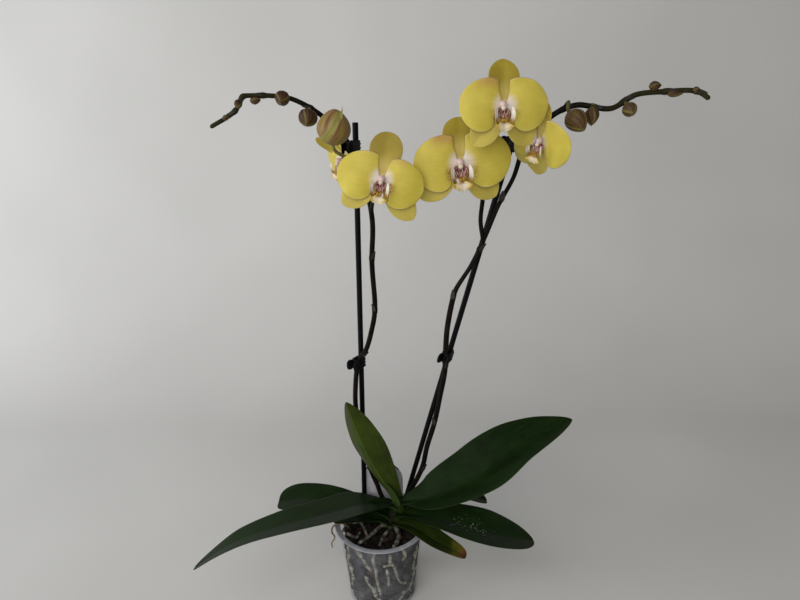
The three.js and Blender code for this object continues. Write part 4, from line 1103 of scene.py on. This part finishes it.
# The sepal that has begun to part from the largest bud ends in a fine free point.
point, s, v, above = blade([[-27, -46, 605], [-25.4, -46, 611], [-24.2, -45.6, 616],
                            [-23.4, -45, 621]], 1.7, 0.6, 0.2, 0.5, (0, -1, 0.1), 0.6, rows=24,
                           sides=24, tip=1.5)
for name, row in buds.items():
    free = [(point, 0, {"seam": 0, "shaded": 0.5,
                        "bud": np.stack([v, 0.5 + 0 * s, 1 + 0 * s], -1)})]
    piece(f"bud_{name}_skin", [bud_skin(*row)] + free * (name == "left_1"), [bud_tissue],
          [f"bud_{name}"])


# ---- Spikes: the two flower stems ---------------------------------------------------------------
# Wiry stems 4 to 7 mm thick that leave the crown between the leaves and lean on the stakes. A
# papery bract clasps each joint, and every flower and bud hangs on a short stalk of its own.

spikes = {
    "left": dict(
        radius=3.0, slim=0,
        stems=[[crown_seat(0.58, 112), [1, 21, 129], [-4.5, 21, 147], [-13.5, 21, 174],
                [-28, 21.5, 254.5], [-27.8, 22, 292.6], [-23.3, 24, 323], [-12.9, 19, 343],
                [-5.7, 14, 369], [-1, 10, 396], [-2.4, 2, 455], [-0.7, -1, 505], [-11, 10, 553],
                [-25.5, 21, 583], [-49, 6, 610], [-70, -1, 624], [-84, -5, 629], [-116, -13, 631],
                [-123, -15, 630], [-131, -18, 617], [-156, -22, 602]]],
        stalks=[("left", 0, 11), ("rear", 0, 12), ("left_1", 0, 12.1), ("left_2", 0, 14.5),
                ("left_3", 0, 16)],
        tips=[[-111, -13.5, 626, 6, 4], [-127, -17.5, 623, 4.5, 4.5],
              [-140, -20.5, 610.5, 3.6, 3]],
        joints=[70, 148, 232, 298, 363]),
    "right": dict(
        radius=3.3, slim=0.22,
        stems=[[crown_seat(0.6, 62), [35, 23, 131.8], [46.9, 25, 152.6], [54.4, 26, 170.8],
                [60, 22, 204], [69.2, 20, 241], [75.4, 17, 279], [80.6, 15, 313], [81.2, 14, 338],
                [82.6, 12, 371], [88.4, 9.8, 409], [91.8, 9.5, 420.5], [107.5, 8, 448],
                [122.1, 6, 482], [134.7, 3, 517], [148.3, 0, 546], [158.5, 2, 577],
                [178, -8, 605], [203, -13, 618], [237, -20, 615], [257, -23, 627],
                [284, -28, 630], [312, -33, 630], [324, -36, 623]],
               [[120, 6.5, 477], [116, 3, 500], [116.5, -4, 525], [117, -10, 560],
                [122, -16, 590]]],
        stalks=[("middle", 1, 2), ("top", 1, 4), ("right", 0, 16), ("right_1", 0, 17.6),
                ("right_2", 0, 18.5), ("right_3", 0, 19.5)],
        tips=[[273.5, -28, 634.8, 6.2, 4.6], [292.5, -31, 627.3, 8, 3.2],
              [311, -33.5, 631, 3.8, 3.2]],
        joints=[66, 140, 222, 312, 376, 436]),
}
bract_reach, stem_taper, flower_stalk, bud_stalk = 9, 0.3, 2.0, 1.8
own_stalks = {"left_1": dict(pull=0.2, green=1.0), "left_3": dict(rise=9),
              "right_1": dict(rise=14)}


def stem_skin(points, radius, joints=(), taper=0.0, slim=0.0):
    """A stem with rounded ends. At share t its radius has lost taper times t cubed, and slim
    from 0.5 to 0.66 of the way. It gains 0.8 mm times exp(-(d / 2.4)^2) at d mm from a joint."""
    share, length = even(points, max(60, int(even(points, 2)[1][-1] / 1.6)))
    t = length / length[-1]
    swell = sum((0.8 * np.exp(-((length - joint) / 2.4) ** 2) for joint in joints), 0 * t)
    thick = radius * (1 - taper * t ** 3 - slim * step(t, 0.43, 0.5) * (1 - step(t, 0.66, 0.74)))
    thick = np.minimum(thick + swell, rounded(length, 3.2) + 0.05)
    rings = tube(follow(points, share), thick, 20, (0.02, 1, 0.01))
    return rings, 0, {"green": 0.08 * step(t, 0.78, 0.95)[:, None]}


def bract_skin(points, joint, number, size):
    """A bract: a pointed blade that starts just under the joint and wraps a stem of radius size,
    on the right for an even number and on the left for an odd one."""
    share, length = even(points, 400)
    place = np.interp([joint - 2, joint + 1.5, joint + bract_reach * 0.6, joint + bract_reach],
                      length, share)
    side = np.array([(-1) ** number, -0.5, 0])
    way = heading(points, place)
    off = unit(side - (way @ side)[:, None] * way)
    lift = size * np.array([0.95, 1.22, 1.28, 1.45])[:, None]
    rings = blade(follow(points, place) + off * lift, 1.35 * size, 0.75, 0.3, -0.75, off[1], 0.5,
                  rows=22, sides=28)[0]
    return rings, 1, {"green": 0}


def stalk_skin(points, share, tip, toward, thick, rise=0, pull=0.4, green=0.33):
    """A flower stalk: a cubic Bezier curve that leaves the stem along it, arches up by rise, and
    arrives at tip, turning from the stem's colour to a share green of its own."""
    start, way = follow(points, np.array([share]))[0], heading(points, np.array([share]))[0]
    reach = np.linalg.norm(tip - start) * pull
    way = unit(0.6 * way + 0.4 * toward)
    first, second = start + way * reach + [0, -0.6 * rise, rise], tip - toward * reach
    w = np.linspace(0, 1, 40)[:, None]
    curve = ((1 - w) ** 3 * start + 3 * (1 - w) ** 2 * w * first + 3 * (1 - w) * w ** 2 * second
             + w ** 3 * tip)
    flare = thick * (1 + 0.25 * (1 - w[:, 0]) ** 6)
    rings = tube(curve, flare, 16, (1, 0.03, 0.02))
    return rings, 0, {"green": green * step(w, 0.1, 0.8 - 0.5 * green)}


# Stem skin: nearly black with a brown flush, satin, and pale green on the flower stalks.
stem_tissue, tree, spot = material("orchid_spike_skin", roughness=0.5, ior=1.42,
                                   specular_ior_level=0.08)
green_part = add(tree, "Attribute", attribute_name="green").outputs["Fac"]
mottle = add(tree, "TexNoise", spot, Scale=130, Detail=5, Roughness=0.65)
dark = add(tree, "ValToRGB", mottle, stops=[(0.3, "#090706"), (0.5, "#100c09"), (0.7, "#1c160e")])
green = add(tree, "ValToRGB", mottle, stops=[(0.3, "#66602c"), (0.5, "#7d7a3a"), (0.7, "#96965a")])
add(tree, "MixRGB", green_part, dark, green, to="Base Color")
add(tree, "Bump", Height=mottle, Strength=0.25, Distance=0.0008, to="Normal")
# Bract: dry and papery, dull brown with paler ribs.
bract_paper = grained("dry_bract", dict(Scale=350, Detail=4), [(0.3, "#120e0a"), (0.7, "#261d14")],
                      dict(Strength=0.3, Distance=0.0005), roughness=0.75)

for name, spike in spikes.items():
    main = spike["stems"][0]
    last = len(main) - 1
    share, length = even(main, 400)
    upper = [point for target, stem, point in spike["stalks"] if stem == 0 and point > 12]
    upper = np.interp(np.array(upper + [last - 3.4, last - 2, last - 1]) / last, share, length)
    thick, thin = spike["radius"], spike["radius"] * 0.72
    skins = [stem_skin(main, thick, [*spike["joints"], *upper], stem_taper, spike["slim"])]
    skins += [stem_skin(branch, thin) for branch in spike["stems"][1:]]
    for size, joints in ((thick, spike["joints"]), (thin, upper)):
        skins += [bract_skin(main, joint, number, size) for number, joint in enumerate(joints)]
    for target, stem, point in spike["stalks"]:
        points = spike["stems"][stem]
        if target in flowers:
            flower = flowers[target]
            toward = turned(flower) @ [0, 0, 1]
            tip = np.array(flower["at"]) - toward * (hub_back + 0.3)
        else:
            at, toward = buds[target][0], buds[target][3]
            toward = unit(np.array(toward, float))
            tip = np.array(at) - 0.3 * toward
        size = flower_stalk if target in flowers else bud_stalk
        skins.append(stalk_skin(points, point / (len(points) - 1), tip, toward, size,
                                **own_stalks.get(target, {})))
    piece(f"spike_{name}_stem", skins, [stem_tissue, bract_paper], [f"spike_{name}"])
    piece(f"spike_{name}_tip_buds", [bud_skin(
        [x - long * 0.95, y, z], 1.9 * long, high, [1, -0.15, 0.1], i, 0.1)
        for i, (x, y, z, long, high) in enumerate(spike["tips"])], [bud_tissue])


# ---- Clips: sprung claw clips that hold the spikes to the stakes --------------------------------
# Each is moulded in black nylon: two jaws with crenellated edges and three pairs of interlocking
# fingers close round stake and stem, two ribbed tabs open them, and a coil spring sits between.

# Nylon, injection moulded: black with a cool sheen and slightly rough from the mould.
nylon = grained("black_nylon_moulded", dict(Scale=600, Detail=3),
                [(0.3, "#030406"), (0.7, "#07090d")], dict(Strength=0.15, Distance=0.0005),
                roughness=0.45, ior=1.53, specular_ior_level=0.15)
clips = {
    "left_low": dict(stake="left", height=322, spike_at=[-25, 24, 320]),
    "left_top": dict(stake="left", height=577, spike_at=[-23.5, 19.5, 577]),
    "right_low": dict(stake="right", height=333, spike_at=[82, 14, 335]),
    "right_top": dict(stake="right", height=579, spike_at=[158.7, 1.7, 578], tabs=-1),
}


jaw_gap, jaw_wall, jaw_steps, finger_wall, finger_steps = 1.0, 0.65, 150, 0.95, 50
tab_length, tab_half_width, tab_thickness, tab_splay = 9.8, 6.8, 1.7, radians(24)
spring_turns, spring_radius, spring_wire, spring_half = 3, 1.5, 0.5, 3.2


def jaw_line(reach, radius, start, end, steps):
    """Points (x, y) on a long loop of a radius round the stake at 0 and the stem at reach, from
    one turn share to another: 0 and 1 lie at the stake's outer side, 0.5 at the stem's."""
    straight, bend = reach, np.pi * radius
    passed = (np.linspace(start, end, steps) % 1) * (2 * straight + 2 * bend)
    turn = np.pi + (np.clip(passed, 0, bend / 2)
                    + np.clip(passed - bend / 2 - straight, 0, bend)
                    + np.clip(passed - 1.5 * bend - 2 * straight, 0, bend / 2)) / radius
    x = (np.clip(passed - bend / 2, 0, straight)
         - np.clip(passed - 1.5 * bend - straight, 0, straight))
    return np.stack([x + radius * np.cos(turn), radius * np.sin(turn)], -1)


for name, clip in clips.items():
    foot, top = np.array(stakes[clip["stake"]], float)
    axis = unit(top - foot)
    seat = foot + axis * (clip["height"] - foot[2]) / axis[2]
    across = np.array(clip["spike_at"]) - seat
    across = across - axis * (across @ axis)
    reach, across = np.linalg.norm(across), unit(across)
    basis = np.stack([across, np.cross(axis, across), axis])
    tabs_at, round_off = clip.get("tabs", 1), stake_radius + jaw_gap
    opening = 0.5 if tabs_at < 0 else 0.0
    parts = []
    line = jaw_line(reach, round_off, opening + 0.015, opening + 0.985, jaw_steps)
    phi = np.linspace(0, 2 * np.pi, 24, endpoint=False)
    turn_out = unit(np.gradient(line, axis=0)) @ [[0, -1], [1, 0]]
    tall = 5.9 - 0.9 * np.tanh(4 * np.sin(2 * np.pi * np.arange(jaw_steps) / 12.5))
    square = jaw_wall / np.maximum(np.abs(np.cos(phi)), np.abs(np.sin(phi))) ** 0.85
    flat = line[:, None] + turn_out[:, None] * (square * np.cos(phi))[None, :, None]
    up = tall[:, None] * (square * np.sin(phi))[None] / jaw_wall
    parts.append(np.concatenate([flat, up[..., None]], -1))
    for row in range(3):
        for way in (1, -1):
            level = 4.1 * (row - 1) + 1.1 * way
            line = jaw_line(reach, round_off + 0.9, opening + 0.46 * way, opening - 0.05 * way,
                            finger_steps)
            centres = np.column_stack([line, level + 0 * line[:, 0]])
            thick = finger_wall * np.linspace(1, 0.45, finger_steps) ** 0.5
            parts.append(tube(centres, thick, 10, (0, 0.01, 1)))
    end = (reach + round_off - 1.0) if tabs_at > 0 else 1.0 - round_off
    for way in (1, -1):
        lean_out = np.array([tabs_at * np.cos(tab_splay), way * np.sin(tab_splay), 0])
        root = np.array([end, way * 1.6, 0])
        plate = blade([root - lean_out, root + lean_out * 3, root + lean_out * 6,
                       root + lean_out * tab_length], tab_half_width, 0.6, 0.6, 0.06,
                      (0, way, 0), tab_thickness, rows=30, sides=36, edge_share=0.7, tip=0.3)[0]
        parts.append(plate)
        for far in (4.5, 6.3, 8.1):
            rib = root + lean_out * far + np.array([0, way * 0.9, 0])
            parts.append(tube(rib + np.outer(np.linspace(-4.6, 4.6, 8), [0, 0, 1]),
                              [0.2, 0.5, 0.55, 0.55, 0.55, 0.55, 0.5, 0.2], 8, (1, 0, 0)))
    coil = np.linspace(0, spring_turns * 2 * np.pi, 90)
    coil = np.stack([end + tabs_at * (1.6 + spring_radius * np.cos(coil)),
                     spring_radius * np.sin(coil), np.linspace(-spring_half, spring_half, 90)], -1)
    parts.append(tube(coil, spring_wire, 8, (0, 0.01, 1)))
    piece(f"clip_{name}_body", [(part @ basis + seat, 0, {}) for part in parts], [nylon],
          [f"clip_{name}"])
